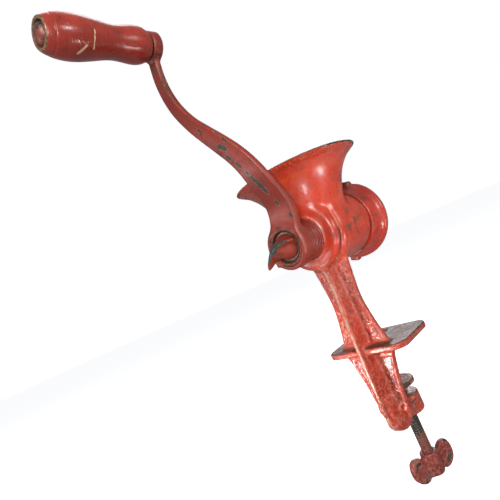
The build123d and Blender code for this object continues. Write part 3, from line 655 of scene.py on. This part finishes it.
def f_casting(x, y, z):
    rho = np.hypot(y, z - AXIS_Z)
    d = BARREL(x, rho)
    r = np.hypot(x + 10.2, y)
    d = smin(d, HOPPER(r, z - AXIS_Z), 5.0)
    leg2, leg, rib = leg_parts(x, y, z)
    rear = step01(x, -16.4, -19.6)
    leg = leg + 0.6 * step01(field_value(x, y, z, leg2), -0.3, 1.0) * rear
    low = smin(leg, rib, 2.2)
    low = smin(low, rounded(GUSSET(x, z), np.abs(y) - 3.2, 1.2), 4.0)
    jaw = rounded(JAW(x, z), np.abs(y) - 5.2, 1.5)
    jaw_floor = rounded(np.maximum(np.abs(x + 10.2) - 10.2, np.abs(y) - 13.2), np.abs(z + 55.25) - 4.75, 1.2)
    boss = rounded(np.hypot(x, y) - 14.0, np.abs(z + 56.0) - 8.0, 1.3)
    low = smin(low, smin(smin(jaw, boss, 4.0), jaw_floor, 3.0), 4.5)
    px, py = np.abs(x + 0.95) - (27.45 - 11.0), np.abs(y) - (38.5 - 11.0)
    plate2 = np.hypot(np.maximum(px, 0.0), np.maximum(py, 0.0)) + np.minimum(np.maximum(px, py), 0.0) - 11.0
    plate = rounded(plate2, np.abs(z - 2.5) - 2.5, 1.1)
    low = smin(low, plate, 5.0)
    d = smin(d, low, 5.5)
    d = smax(d, -np.maximum(rho - 26.2, -27.0 - x), 0.7)
    d = smax(d, -HOPPER_VOID(r, z - AXIS_Z), 1.1)
    d = np.maximum(d, 8.06 - rho)
    d = np.maximum(d, -np.maximum(np.hypot(x, y) - 4.83, z + 40.0))
    return d


P, Q = contour(f_casting, (-69.2, -59.2, -71.0), (49.0, 59.2, 171.5), 1.12)
N_, edge, cavity_and_shade = wear_values(f_casting, P)
x, y, z = P.T
leg2 = LEG(y, z)
field = step01(field_value(x, y, z, leg2), -0.2, 1.2) * step01(x, -18.6, -19.8)
rough_low = step01(z, 92.0, 78.0) * 0.35
ring_r = np.hypot(x + 10.2, y)
inside = step01(np.hypot(y, z - AXIS_Z), 27.5, 26.5) * step01(x, -28.5, -26.0)
side = np.arctan2(y, x + 10.2)
rim_wide = step01(np.cos(side - math.radians(-40.0)), -0.2, 0.7)
rim = step01(z, 168.1 - 0.8 * rim_wide, 168.8 - 0.6 * rim_wide) * step01(ring_r, 53.0, 54.0)
crest = step01(np.abs(y), 1.5, 0.8) * step01(x, -27.4, -28.4) * step01(z, 84.0, 76.0)
# pale crest: worn paint and a painted highlight along the rib's edge
crest_wear_and_highlight = crest * step01(RIB(x, z), -1.6, -0.5)
boss_rear = step01(x, -35.6, -37.0) * step01(np.hypot(y, z - AXIS_Z), 19.0, 18.4)
CAST_CHIPS = [(-1.3, -35.2, 149.0, 1.5, -34.0, 144.0, 3.0), (26.5, -38.5, 5.0, 26.5, -26.0, 5.0, 3.2), (22.0, -38.0, 5.0, -6.0, -38.4, 5.0, 2.6),
              (-13.9, -29.4, 122.0, -10.0, -29.6, 118.0, 1.6), (26.5, 10.0, 5.0, 26.5, 30.0, 5.0, 2.8), (-28.0, -34.0, 5.0, -28.4, -20.0, 4.0, 2.4),
              (-16.0, -13.0, -52.0, -4.0, -13.2, -52.0, 3.0), (14.0, 0.0, -50.0, 10.0, 10.0, -50.0, 3.0), (-35.0, 0.0, -40.0, -34.5, 0.0, -52.0, 2.2)]
chip = np.maximum(near_spots(P, CAST_CHIPS) * 0.8, rim * 2.0 - 1.0)
edge = edge * (1.0 - 0.8 * step01(z, 158.0, 161.0) * (1.0 - rim))
chip = np.maximum(chip, crest_wear_and_highlight * 0.20)
chip = np.maximum(chip, 0.42 * step01(z, 1.0, 2.0) * step01(z, 7.0, 6.0) * step01(y, -22.0, -33.0) * step01(x, -24.0, -20.0))
# painted shadow of the clamp pad on the boss top, drawn as chips to dark iron
chip = np.maximum(chip, 0.52 * step01(np.hypot(x, y), 14.5, 13.5) * step01(z, -49.6, -48.4) * step01(z, -40.0, -44.0))
grime_and_shade = np.maximum(near_spots(P, [(-1.0, -35.0, 148.0, 2.0, -33.0, 141.0, 6.0), (-12.0, -29.4, 121.0, -4.0, -29.0, 118.0, 6.0), (-14.0, -29.0, 104.0, 8.0, -29.5, 110.0, 7.0)]), 0.0) * 0.62
# painted shade on the table plate's top face, as dark smear and dark bare iron
plate_top = step01(z, 4.2, 4.9) * step01(PL := np.maximum(np.abs(x + 0.95) - 27.5, np.abs(y) - 38.5), 1.5, 0.0) * step01(z, 7.5, 6.0)
grime_and_shade = np.maximum(grime_and_shade, plate_top * (0.78 + 0.5 * step01(y, -6.0, -26.0)))
chip = np.maximum(chip, plate_top * (0.06 + 0.30 * step01(y, -8.0, -24.0)))
# painted shade on the top of the barrel next to the ring nut
grime_and_shade = np.maximum(grime_and_shade, 0.85 * step01(z, 112.0, 138.0) * step01(x, 18.0, 27.0))
# painted shade inside the bore
grime_and_shade = np.maximum(grime_and_shade, inside * 0.72)
cav2 = np.maximum(cavity_and_shade, boss_rear * 0.72)
cast = make_object("body_casting_enamelled", P, Q, "casting", ["body_casting"],
                   {"edge": edge, "cavity_and_shade": cav2, "chip": chip, "field": np.maximum(field, rough_low), "grime_and_shade": grime_and_shade, "turned": boss_rear, "pale_wear_highlight": crest_wear_and_highlight})
cast.data.materials.append(M_CAST)

# ------------------------------------------------------------------ crank arm
TH = math.radians(84.3)
ER = (math.cos(TH), math.sin(TH))
EN = (-math.sin(TH), math.cos(TH))
CRANK_R = 190.4
EYE_Y, EYE_Z = CRANK_R * ER[0], AXIS_Z + CRANK_R * ER[1]
ARM_SIDE = [(-12.0, -59.4, 8.4), (0.0, -59.5, 8.4), (18.0, -60.0, 8.2), (30.0, -62.3, 7.8), (42.0, -68.0, 7.4), (52.0, -72.8, 7.2), (62.0, -76.2, 7.0),
            (76.0, -79.6, 6.6), (95.0, -83.6, 6.3), (115.0, -87.6, 6.0), (140.0, -91.4, 5.8), (165.0, -93.2, 5.8), (199.0, -93.4, 6.0)]
ARM_FRONT = [(-12.0, -4.0, 30.0), (0.0, 0.0, 30.0), (14.0, 6.0, 27.5), (27.0, 12.0, 24.6), (40.0, 16.0, 22.2), (53.0, 16.9, 21.6), (66.0, 16.4, 19.9),
             (79.0, 13.3, 18.4), (93.0, 7.6, 17.0), (107.0, 1.2, 15.2), (121.0, -4.8, 13.2), (136.0, -8.8, 12.4), (151.0, -9.8, 11.8),
             (166.0, -8.2, 11.4), (180.0, -4.2, 11.2), (192.0, 0.4, 11.6)]
side_t = np.array(dense(ARM_SIDE, 10))
front_t = np.array(dense(ARM_FRONT, 10))
side_slope = np.gradient(side_t[:, 1], side_t[:, 0])
front_slope = np.gradient(front_t[:, 1], front_t[:, 0])
HUB = Outline([(-63.1, -12.0), (-63.1, 16.1), (-64.3, 15.4), (-64.3, 17.3), (-63.9, 17.9), (-62.7, 19.3), (-54.0, 19.3), (-53.0, 18.3), (-53.0, -12.0)], pad=10.0, step=0.15)
EYE = Outline([(-97.9, -10.0), (-97.9, 10.6), (-97.0, 11.6), (-90.2, 11.6), (-89.0, 10.4), (-89.0, -10.0)], pad=10.0, step=0.15)


def f_crank(x, y, z):
    zz = z - AXIS_Z
    r = y * ER[0] + zz * ER[1]
    n = y * EN[0] + zz * EN[1]
    xm = np.interp(r, side_t[:, 0], side_t[:, 1])
    th = np.interp(r, side_t[:, 0], side_t[:, 2])
    sa = np.interp(r, side_t[:, 0], side_slope)
    nm = np.interp(r, front_t[:, 0], front_t[:, 1])
    wd = np.interp(r, front_t[:, 0], front_t[:, 2])
    fa = np.interp(r, front_t[:, 0], front_slope)
    ds = (np.abs(x - xm) - th / 2) / np.sqrt(1 + sa * sa)
    u = (n - nm) / np.sqrt(1 + fa * fa)
    w = wd / 2 / np.sqrt(1 + fa * fa) * 1.0
    dn = np.abs(u) - w * np.sqrt(1 + fa * fa) * 0.985
    # slightly crowned faces
    ds = ds + 0.55 * (u / np.maximum(w, 1.0)) ** 2 - 0.15
    bar = rounded(ds, dn, 2.3)
    bar = np.maximum(bar, r - 192.0)
    bar = np.maximum(bar, -11.0 - r)
    rho = np.hypot(y, zz)
    hub = HUB(x, rho)
    eye = EYE(x, np.hypot(y - EYE_Y, z - EYE_Z))
    d = smin(bar, hub, 2.6)
    d = smin(d, eye, 2.6)
    d = np.maximum(d, -rounded(rho - 13.2, x + 60.1, 0.4))
    d = np.maximum(d, -np.maximum(np.abs(y) - 5.65, np.abs(zz) - 5.65))
    d = np.maximum(d, 4.0 - np.hypot(y - EYE_Y, z - EYE_Z))
    d = np.maximum(d, x + 53.0)
    d = np.maximum(d, -64.3 - x - 200.0 * (rho > 19.6))
    return d


P, Q = contour(f_crank, (-99.5, -37.0, 86.0), (-50.5, 34.0, 314.0), 0.8)
N_, edge, cavity_and_shade = wear_values(f_crank, P, near=0.9, deep=2.6)
ARM_CHIPS = [(-90.5, 20.5, 277.5, -90.2, 18.6, 266.0, 5.0), (-90.1, 15.3, 243.0, -90.1, 14.8, 240.0, 2.4), (-89.8, 10.7, 219.5, -89.6, 9.8, 216.5, 2.8),
             (-88.0, -1.4, 213.0, -87.6, -2.6, 209.6, 2.9), (-86.5, -5.2, 204.0, -86.0, -6.2, 201.0, 3.0), (-85.9, 1.2, 200.4, -85.3, -3.0, 195.6, 4.6),
             (-83.8, 0.2, 190.4, -83.4, -1.4, 187.4, 3.1), (-82.1, -4.4, 181.8, -81.4, -6.0, 178.6, 2.9), (-79.9, -8.0, 172.6, -79.4, -8.8, 170.6, 2.9),
             (-78.3, -9.3, 167.2, -76.9, -10.9, 163.0, 3.6), (-76.0, -11.0, 161.0, -72.3, -12.0, 152.8, 4.0), (-67.6, -12.8, 143.8, -66.8, -13.1, 141.4, 3.6),
             (-88.6, 4.6, 222.0, -88.4, 4.2, 220.0, 1.9), (-64.0, -17.6, 131.5, -63.8, -18.6, 127.5, 2.2)]
chip = near_spots(P, ARM_CHIPS) * 0.95
zz = P[:, 2] - AXIS_Z
rl = P[:, 1] * ER[0] + zz * ER[1]
nl = P[:, 1] * EN[0] + zz * EN[1] - np.interp(rl, front_t[:, 0], front_t[:, 1])
across = nl / (0.5 * np.interp(rl, front_t[:, 0], front_t[:, 2]))
chip = np.maximum(chip, (0.46 * step01(across, 0.72, 0.95) - 0.05) * step01(edge, 0.05, 0.25) * (rl > 14.0))
chip = np.maximum(chip, (0.30 * step01(across, -0.72, -0.95) - 0.02) * step01(edge, 0.05, 0.25) * (rl > 40.0))
rr = np.hypot(P[:, 1], P[:, 2] - AXIS_Z)
ring_dirt = np.maximum(np.exp(-((rr - 13.2) / 1.3) ** 2), np.exp(-((rr - 16.2) / 0.6) ** 2) * 0.6) * (P[:, 0] < -59)
# painted shade: the upper part of the arm darker
upper_painted_shade = step01(P[:, 2], 236.0, 276.0) * 0.30
crank = make_object("crank_arm_enamelled", P, Q, "crank", ["crank_arm"],
                    {"edge": edge, "cavity_and_shade": np.maximum(cavity_and_shade, ring_dirt * 0.9), "chip": chip, "field": np.zeros(len(P)), "grime_and_shade": np.maximum(ring_dirt * 0.7, upper_painted_shade)})
crank.data.materials.append(M_CRANK)

# ------------------------------------------------------------------ thumb screw
TS_X = -60.1 - 1.65
THUMB = math.radians(-22.8)
FAN = Outline([(TS_X - a, b) for a, b in ([(0.0, -9.0), (1.6, -10.2), (6.0, -13.4), (11.0, -17.2), (13.4, -18.5), (14.6, -18.3), (15.4, -16.4), (16.0, -10.0), (16.4, 0.0),
                                           (16.0, 10.0), (15.4, 16.4), (14.6, 18.3), (13.4, 18.5), (11.0, 17.2), (6.0, 13.4), (1.6, 10.2), (0.0, 9.0)])], step=0.12, pad=8.0)
COLLAR = Outline([(TS_X, -10.0), (TS_X, 9.9), (TS_X - 0.5, 10.4), (TS_X - 1.6, 10.4), (TS_X - 3.4, 9.5), (TS_X - 6.5, 8.0), (TS_X - 10.0, 6.0), (TS_X - 13.0, 3.8), (TS_X - 14.6, 1.6), (TS_X - 14.8, -10.0)], step=0.12, pad=8.0)


def f_thumb(x, y, z):
    zz = z - AXIS_Z
    u = y * math.cos(THUMB) + zz * math.sin(THUMB)
    v = -y * math.sin(THUMB) + zz * math.cos(THUMB)
    top = np.interp(np.abs(u), [0, 3.5, 7, 14, 20], [4.6, 4.1, 2.9, -0.4, -4.4])
    bot = np.interp(np.abs(u), [0, 3.5, 7, 14, 20], [-0.6, -0.8, -1.4, -3.6, -6.8])
    mid, half = (top + bot) / 2, (top - bot) / 2
    thin = 1.0 - 0.16 * step01(x, -70.0, -78.0)
    slab = (np.abs(v - mid) - half * thin) * 0.90
    fan = rounded(FAN(x, u), slab, 1.1)
    fan = np.maximum(fan, x - TS_X)
    d = smin(COLLAR(x, np.hypot(y, zz)), fan, 4.2)
    rod = np.maximum(np.hypot(y, zz) - (3.72 + 0.16 * np.cos(2 * math.pi * x / 1.5)), np.maximum(-64.0 - x, x + 41.0))
    d = np.minimum(np.maximum(d, x - TS_X), rod)
    return d


P, Q = contour(f_thumb, (-79.4, -19.6, 95.0), (-40.0, 19.6, 124.0), 0.45)
N_, edge, cavity_and_shade = wear_values(f_thumb, P, near=0.7, deep=2.0)
outer_edge = step01(P[:, 0], -76.4, -77.8)
chip = np.maximum(outer_edge * 0.85, -0.6)
# darker towards the hub
thumb = make_object("crank_thumb_screw_enamelled", P, Q, "thumb_screw", ["crank_thumb_screw"],
                    {"edge": edge * 0.8, "cavity_and_shade": cavity_and_shade, "chip": chip - 0.02, "field": np.zeros(len(P)), "grime_and_shade": step01(P[:, 0], -64.4, -62.0) * 0.55})
thumb.data.materials.append(M_CRANK)

# ------------------------------------------------------------------ ring nut
RING = Outline([(25.0, 29.08), (25.0, 30.9), (25.5, 31.4)] + dense([(29.0, 31.6), (33.0, 32.2), (36.5, 33.1), (39.0, 34.4), (40.7, 35.9)], 4) +
               [(41.7, 36.5), (45.0, 36.6), (45.6, 36.3), (45.8, 35.7), (45.8, 24.2), (45.5, 23.7), (44.9, 23.5), (42.65, 23.5), (42.65, 27.6), (36.3, 27.6), (36.3, 29.08)], step=0.15, pad=8.0)


def f_ring(x, y, z):
    zz = z - AXIS_Z
    d = RING(x, np.hypot(y, zz))
    for ang in (108.0, 288.0):
        c, s = math.cos(math.radians(ang)), math.sin(math.radians(ang))
        u, v = y * c + zz * s, -y * s + zz * c
        lug = rounded(np.maximum(np.abs(x - 41.9) - 3.4, np.abs(v) - 4.5), np.abs(u - 35.5) - 3.2, 1.6)
        lug = smax(lug, np.abs(v) - 4.5 + 0.0 * u, 1.2)
        d = smin(d, lug, 1.8)
    d = np.maximum(d, x - 45.8)
    return d


P, Q = contour(f_ring, (23.6, -40.5, 68.0), (48.0, 40.5, 150.0), 0.75)
N_, edge, cavity_and_shade = wear_values(f_ring, P, near=0.9, deep=2.4)
rho = np.hypot(P[:, 1], P[:, 2] - AXIS_Z)
rim_worn = step01(rho, 35.0, 36.4) * step01(P[:, 0], 40.8, 42.0)
chip = np.where(rim_worn > 0.2, 0.05 + 0.50 * rim_worn * step01(edge, 0.05, 0.3) + 0.75 * step01(P[:, 0], 43.4, 44.8) * step01(rho, 35.2, 36.2), -0.6)
chip = np.maximum(chip, 0.55 * step01(rho, 37.0, 37.8))
front = step01(P[:, 0], 45.0, 45.6)
# painted shade: the ring's upper part darker, and darker inside the bore and toward the rear
ring = make_object("ring_nut_enamelled", P, Q, "ring", ["ring_nut"],
                   {"edge": edge, "cavity_and_shade": np.maximum(cavity_and_shade, 1.25 * step01(P[:, 2], 104.0, 136.0) * step01(P[:, 0], 44.5, 41.0)), "chip": chip, "field": front * 0.25, "grime_and_shade": np.maximum(step01(rho, 25.5, 23.8) * 0.5, 0.20 * step01(P[:, 0], 41.0, 37.0))})
ring.data.materials.append(M_RING)

# ------------------------------------------------------------------ clamp wing
WA = math.radians(-22.0)
half = [(7.6, -3.4), (11.0, -1.2), (14.6, 0.5), (18.2, 0.7), (21.4, -1.0), (23.3, -5.6), (23.6, -10.6), (22.3, -15.6), (19.0, -19.4), (14.6, -21.4), (10.6, -21.2), (7.6, -19.6)]
WING = Outline(dense([(a, -101.5 + b) for a, b in half] + [(-a, -101.5 + b) for a, b in reversed(half)], 4, closed=True), step=0.15, pad=8.0)


def f_wing(x, y, z):
    u = x * math.cos(WA) + y * math.sin(WA)
    v = -x * math.sin(WA) + y * math.cos(WA)
    w2 = WING(u, z)
    cup = step01(-w2, 1.6, 5.5) * step01(np.abs(u), 7.0, 11.0)
    slab = rounded(w2, np.abs(v) - 2.9 + 0.75 * cup, 1.7)
    hub = rounded(np.hypot(x, y) - 7.6, np.abs(z + 111.25) - 9.75, 1.6)
    d = smin(slab, hub, 2.6)
    d = np.maximum(d, -np.maximum(np.hypot(x, y) - 4.75, -115.5 - z))
    return d


P, Q = contour(f_wing, (-25.5, -17.0, -124.6), (25.5, 17.0, -98.6), 0.55)
N_, edge, cavity_and_shade = wear_values(f_wing, P, near=0.9, deep=2.4)
WING_CHIPS = [(-14.0, 4.0, -104.0, -20.0, 6.0, -108.0, 4.0), (12.0, -8.0, -118.0, 18.0, -10.0, -114.0, 4.0), (-10.0, 1.0, -118.0, -16.0, 3.0, -121.0, 3.0), (16.0, -9.0, -101.5, 20.0, -10.0, -104.0, 3.0)]
wing = make_object("clamp_wing_enamelled", P, Q, "clamp", ["clamp_wing"],
                   {"edge": edge, "cavity_and_shade": cavity_and_shade, "chip": near_spots(P, WING_CHIPS) * 0.6, "field": np.full(len(P), 0.25), "grime_and_shade": np.zeros(len(P))})
wing.data.materials.append(M_WING)

# ------------------------------------------------------------------ clamp screw with its thread
PITCH, TOP, BOTTOM = 2.0, -44.5, -115.5
cols, per = 56, 12
rows = int((TOP - BOTTOM) / PITCH * per)
zs = np.linspace(BOTTOM, TOP, rows + 1)
ang = np.arange(cols) * 2 * math.pi / cols
Zg, Ag = np.meshgrid(zs, ang, indexing="ij")
ph = (Zg / PITCH - Ag / (2 * math.pi)) % 1.0
tri = np.abs(ph * 2 - 1)
depth = 0.78 * step01(tri, 0.12, 0.88)
fade = step01(Zg, TOP, TOP - 1.6) * step01(Zg, BOTTOM, BOTTOM + 1.0)
Rg = 4.73 - depth * np.maximum(fade, 0.0) - 0.5 * step01(Zg, TOP - 0.9, TOP)
V = np.stack([Rg * np.cos(Ag), Rg * np.sin(Ag), Zg], -1).reshape(-1, 3)
F = []
for i in range(rows):
    for j in range(cols):
        k = (j + 1) % cols
        F.append((i * cols + j, i * cols + k, (i + 1) * cols + k, (i + 1) * cols + j))
neck = [(TOP + 0.05, 3.0), (-37.3, 3.0), (-37.2, 3.55), (-36.8, 3.6), (-36.6, 3.2), (-36.5, 2.0), (-36.5, 0.0)]
base = rows * cols
valley = list((depth * fade / 0.78).ravel())
low = list(step01(Zg, -78.0, -92.0).ravel())
prev = [base + j for j in range(cols)]
VV = [tuple(q) for q in V]
for zz, rad in neck:
    if rad > 0:
        start = len(VV)
        VV += [(rad * math.cos(a), rad * math.sin(a), zz) for a in ang]
        ringv = list(range(start, start + cols))
        F += [(prev[j], prev[(j + 1) % cols], ringv[(j + 1) % cols], ringv[j]) for j in range(cols)]
        prev = ringv
        valley += [0.2] * cols
        low += [0.0] * cols
    else:
        VV.append((0.0, 0.0, zz))
        valley.append(0.2)
        low.append(0.0)
        F += [(prev[j], prev[(j + 1) % cols], len(VV) - 1) for j in range(cols)]
VV.append((0.0, 0.0, BOTTOM))
valley.append(0.3)
low.append(1.0)
F += [((j + 1) % cols, j, len(VV) - 1) for j in range(cols)]
screw = outward(make_object("clamp_screw_threaded", VV, F, "clamp", ["clamp_screw"], {"valley": valley, "low": low}))
screw.data.materials.append(M_SCREW)

# ------------------------------------------------------------------ clamp pad
pad_profile = [(-44.2, 3.06), (-44.2, 7.2), (-43.9, 7.6), (-40.9, 7.6), (-40.2, 8.2), (-40.0, 9.2), (-40.0, 14.4), (-39.6, 15.0), (-39.2, 15.2), (-36.9, 15.2), (-36.3, 14.9), (-36.0, 14.3),
               (-36.0, 11.6), (-36.25, 11.3), (-36.25, 10.7), (-36.0, 10.4), (-36.0, 8.0), (-36.25, 7.7), (-36.25, 7.1), (-36.0, 6.8), (-36.0, 4.6), (-38.3, 4.6), (-38.3, 3.06), (-44.2, 3.06)]


def refine(profile, step):
    out = [profile[0]]
    for (a, b), (c, d) in zip(profile, profile[1:]):
        n = max(1, int(math.hypot(c - a, d - b) / step))
        out += [(a + (c - a) * i / n, b + (d - b) * i / n) for i in range(1, n + 1)]
    return out


prof = refine(pad_profile, 1.0)
V, F = lathe(prof, 96, (0, 0, 0), "z", wobble=lambda a, t, r: (0.07 * np.sin(3 * t + 1.0) + 0.05 * np.sin(7 * t)) * (1.0 if r > 9 else 0.0) - (0.10 if r > 9 else 0.0))
rad = np.hypot(V[:, 0], V[:, 1])
pad_edge = np.maximum(step01(rad, 14.2, 15.0), step01(V[:, 2], -41.5, -43.8) * 0.5)
# darker towards the centre hole
pad = outward(make_object("clamp_pad_turned", V, F, "pad", ["clamp_pad"],
                          {"edge": pad_edge * 0.45, "cavity_and_shade": step01(rad, 9.0, 7.6) * 0.3, "chip": step01(V[:, 2], -36.6, -36.1) * 0.25, "field": np.full(len(V), 0.3), "grime_and_shade": np.full(len(V), 0.2)}))
pad.data.materials.append(M_PAD)

# ------------------------------------------------------------------ turned grip and spindle
GX0, GLEN = -98.8, 82.5
GX1 = GX0 - GLEN
GP = [(0.0, 10.0), (0.8, 11.2), (3.0, 12.3), (6.4, 13.5), (10.8, 14.1), (15.6, 13.9), (21.5, 13.1), (27.4, 12.5), (33.2, 12.5), (40.0, 13.2), (47.8, 14.3), (55.2, 15.2),
      (61.5, 15.6), (66.9, 15.4), (71.8, 14.7), (75.7, 13.7), (79.1, 12.4), (81.4, 11.2), (82.3, 10.5)]
gp = dense(GP, 12)
# one turned bead line near the arm and one near the far end
outer = []
for d, r in gp:
    groove = 0.34 * math.exp(-((d - 4.6) / 0.55) ** 2) + 0.30 * math.exp(-((d - 76.6) / 0.55) ** 2)
    outer.append((GX0 - d, r - groove))
inner = [(GX1, 9.9), (GX1 + 0.1, 9.0), (GX1 + 0.7, 8.5), (GX1 + 7.2, 8.25), (GX1 + 7.2, 4.05), (GX0, 4.05), (GX0, 10.0)]
prof = outer + refine(inner, 1.2)
V, F = lathe(prof, 160, (0, EYE_Y, EYE_Z), "x", wobble=lambda a, t, r: 0.0 * t if r < 8.5 else (0.06 * np.sin(2 * t + 0.6 + a * 0.05) + 0.03 * np.sin(5 * t + a * 0.21)))
d = GX0 - V[:, 0]
rad = np.hypot(V[:, 1] - EYE_Y, V[:, 2] - EYE_Z)
end = np.maximum(step01(d, 80.8, 82.2), step01(rad, 9.6, 8.8))
SCRATCH = [(-149.0, 4.2, 295.0, -149.6, 5.2, 291.5, 1.0), (-149.6, 5.2, 291.5, -150.4, 8.0, 287.4, 1.0), (-150.4, 8.0, 287.4, -150.6, 12.0, 285.0, 0.9),
           (-161.8, 15.5, 283.0, -159.0, 12.5, 284.0, 1.3), (-159.0, 12.5, 284.0, -156.3, 10.1, 285.8, 1.2)]
scratch = np.maximum(near_spots(V, SCRATCH), 0.0) * 1.2
GRIP_CHIPS = [(-100.5, 10.0, 306.0, -100.5, 8.0, 292.0, 2.0), (-166.0, 3.0, 300.0, -170.0, 6.0, 291.0, 2.2), (-128.0, 7.0, 306.0, -131.0, 8.0, 308.0, 1.2)]
gchip = near_spots(V, GRIP_CHIPS) * 0.45
grip = outward(make_object("handle_grip_turned", V, F, "grip", ["handle_grip"], {"end": end, "scratch": scratch, "chip": gchip}))
grip.data.materials.append(M_GRIP)

head = dense([(0.0, 0.0), (0.2, 2.2), (1.0, 4.4), (2.4, 6.2), (4.4, 7.4), (6.4, 7.65), (8.0, 7.2)], 5)
sp = [(GX1 - 2.75 + a, b) for a, b in head] + [(GX1 + 5.4, 6.6), (GX1 + 5.4, 3.9), (-98.4, 3.9), (-98.4, 3.98), (-88.95, 3.98), (-88.95, 5.6), (-88.5, 5.75)]
sp += [(-88.0 + a, b) for a, b in [(0.2, 5.3), (0.8, 4.4), (1.2, 3.4), (1.5, 2.0), (1.6, 0.0)]]
V, F = lathe([(a, max(b, 0.0)) for a, b in sp], 64, (0, EYE_Y, EYE_Z), "x",
             wobble=lambda a, t, r: (0.05 * np.sin(3 * t + 0.4) + 0.04 * np.sin(5 * t)) if (a < GX1 + 5.5 or a > -88.9) else 0.0 * t)
spin = outward(make_object("handle_spindle_domed", V, F, "crank", ["handle_spindle"], {"head": 0.55 * step01(V[:, 0], GX1 + 6.0, GX1 + 3.0) + 0.25 * step01(V[:, 2], EYE_Z + 1.0, EYE_Z - 5.0) * (V[:, 0] < GX1 + 3.0)}))
spin.data.materials.append(M_SPINDLE)

# ------------------------------------------------------------------ CAD pieces that stay
KEEP = {"disc_key_pin": M_STEEL, "feed_screw": M_TIN, "feed_screw_stud": M_STEEL, "thrust_washer": M_FIBRE, "cutter_knife": M_BRIGHT, "perforated_disc": M_BRIGHT,
        "crank_washer": M_STEEL, "grip_end_washer": M_STEEL, "grip_base_washer": M_STEEL, "pad_retaining_washer": M_STEEL, "clamp_wing_pin": M_STEEL}
for node, mat in KEEP.items():
    ob = frame["nodes"][node]
    if not ob.material_slots:
        ob.data.materials.append(mat)
    for s in ob.material_slots:
        s.material = mat

# ------------------------------------------------------------------ floor, light, background
floor_mesh = bpy.data.meshes.new("floor")
S = 7.9
floor_mesh.from_pydata([(-S, -S, -0.1245), (S, -S, -0.1245), (S, S, -0.1245), (-S, S, -0.1245)], [], [(0, 1, 2, 3)])
floor = bpy.data.objects.new("floor", floor_mesh)
bpy.context.scene.collection.objects.link(floor)
fm, FN = material("pale_floor")
FN.bsdf.inputs["Emission Color"].default_value = (0.96, 0.965, 0.98, 1.0)
FN.bsdf.inputs["Emission Strength"].default_value = 0.74
FN.put(FN.bsdf.inputs["Base Color"], FN.mix(FN.ramp(FN.noise(30.0, 5.0, 0.6), 0.3, 0.7), (0.84, 0.84, 0.86), (0.87, 0.87, 0.885)))
FN.bsdf.inputs["Roughness"].default_value = 0.75
FN.bsdf.inputs["Specular IOR Level"].default_value = 0.2
FN.bump(FN.math("MULTIPLY", FN.noise(260.0, 3.0, 0.6), 0.10))
floor_mesh.materials.append(fm)
floor.visible_diffuse = floor.visible_glossy = False


def area(name, pos, target, size, power, color=(1, 1, 1)):
    L = bpy.data.lights.new(name, "AREA")
    L.shape = "RECTANGLE"
    L.size, L.size_y = size
    L.energy = power
    L.color = color
    ob = bpy.data.objects.new(name, L)
    bpy.context.scene.collection.objects.link(ob)
    ob.location = pos
    ob.rotation_mode = "QUATERNION"
    ob.rotation_quaternion = (Vector(pos) - Vector(target)).to_track_quat("Z", "Y")
    ob.visible_camera = False
    return ob


area("key", (-1.10, -0.70, 0.46), (0.0, 0.0, 0.08), (0.36, 0.32), 12.5, (1.0, 0.985, 0.96))
area("front", (0.10, -1.25, 0.30), (-0.02, 0.0, 0.12), (0.24, 0.20), 4.5)
area("low_left", (-0.95, -0.72, -0.04), (-0.04, 0.0, 0.13), (0.13, 0.11), 3.2)
area("glance", (-1.05, 0.80, -0.02), (-0.02, 0.0, 0.04), (0.55, 0.20), 3.0)
# small lamps whose reflections fall on the hopper and on the leg
area("spark_front", (0.044, -0.236, -0.056), (-0.028, -0.035, 0.154), (0.030, 0.030), 0.030)
area("spark_left", (-0.207, -0.178, -0.044), (-0.039, -0.022, 0.148), (0.030, 0.030), 0.022)
area("spark_leg", (-0.222, 0.123, -0.080), (-0.024, -0.012, -0.007), (0.040, 0.040), 0.07)
for ob in bpy.data.objects:
    if ob.type == "LIGHT" and ob.name.startswith("spark"):
        ob.data.spread = math.radians(55.0)
area("top", (0.3, 0.4, 1.5), (0.0, 0.0, 0.1), (0.9, 0.7), 5.5)
area("right_back", (1.1, 0.6, 0.6), (0.0, 0.0, 0.10), (0.5, 0.5), 5.0, (0.97, 0.985, 1.0))

# a plain white dome far round the scene, which only the camera sees
dome_v, dome_f = lathe([(-8.0 * math.cos(math.radians(a)), max(8.0 * math.sin(math.radians(a)), 0.0)) for a in list(range(0, 180, 10))] + [(8.0, 0.0)], 48, (0, 0, 0), "z")
dome_mesh = bpy.data.meshes.new("backdrop")
dome_mesh.from_pydata(dome_v.tolist(), [], dome_f)
dome_mesh.polygons.foreach_set("use_smooth", [True] * len(dome_mesh.polygons))
dome = bpy.data.objects.new("backdrop", dome_mesh)
bpy.context.scene.collection.objects.link(dome)
dm = bpy.data.materials.new("backdrop_white")
dm.use_nodes = True
dm.node_tree.nodes.clear()
em = dm.node_tree.nodes.new("ShaderNodeEmission")
em.inputs["Color"].default_value = (0.975, 0.978, 0.985, 1.0)
em.inputs["Strength"].default_value = 1.03
dm.node_tree.links.new(em.outputs[0], dm.node_tree.nodes.new("ShaderNodeOutputMaterial").inputs[0])
dome_mesh.materials.append(dm)
dome.visible_diffuse = dome.visible_glossy = dome.visible_transmission = dome.visible_shadow = dome.visible_volume_scatter = False

world = bpy.data.worlds.new("studio")
bpy.context.scene.world = world
world.use_nodes = True
bg = world.node_tree.nodes["Background"]
bg.inputs["Color"].default_value = (0.955, 0.962, 0.98, 1.0)
bg.inputs["Strength"].default_value = 0.30
bpy.context.scene.view_settings.view_transform = "Standard"
bpy.context.scene.view_settings.look = "None"
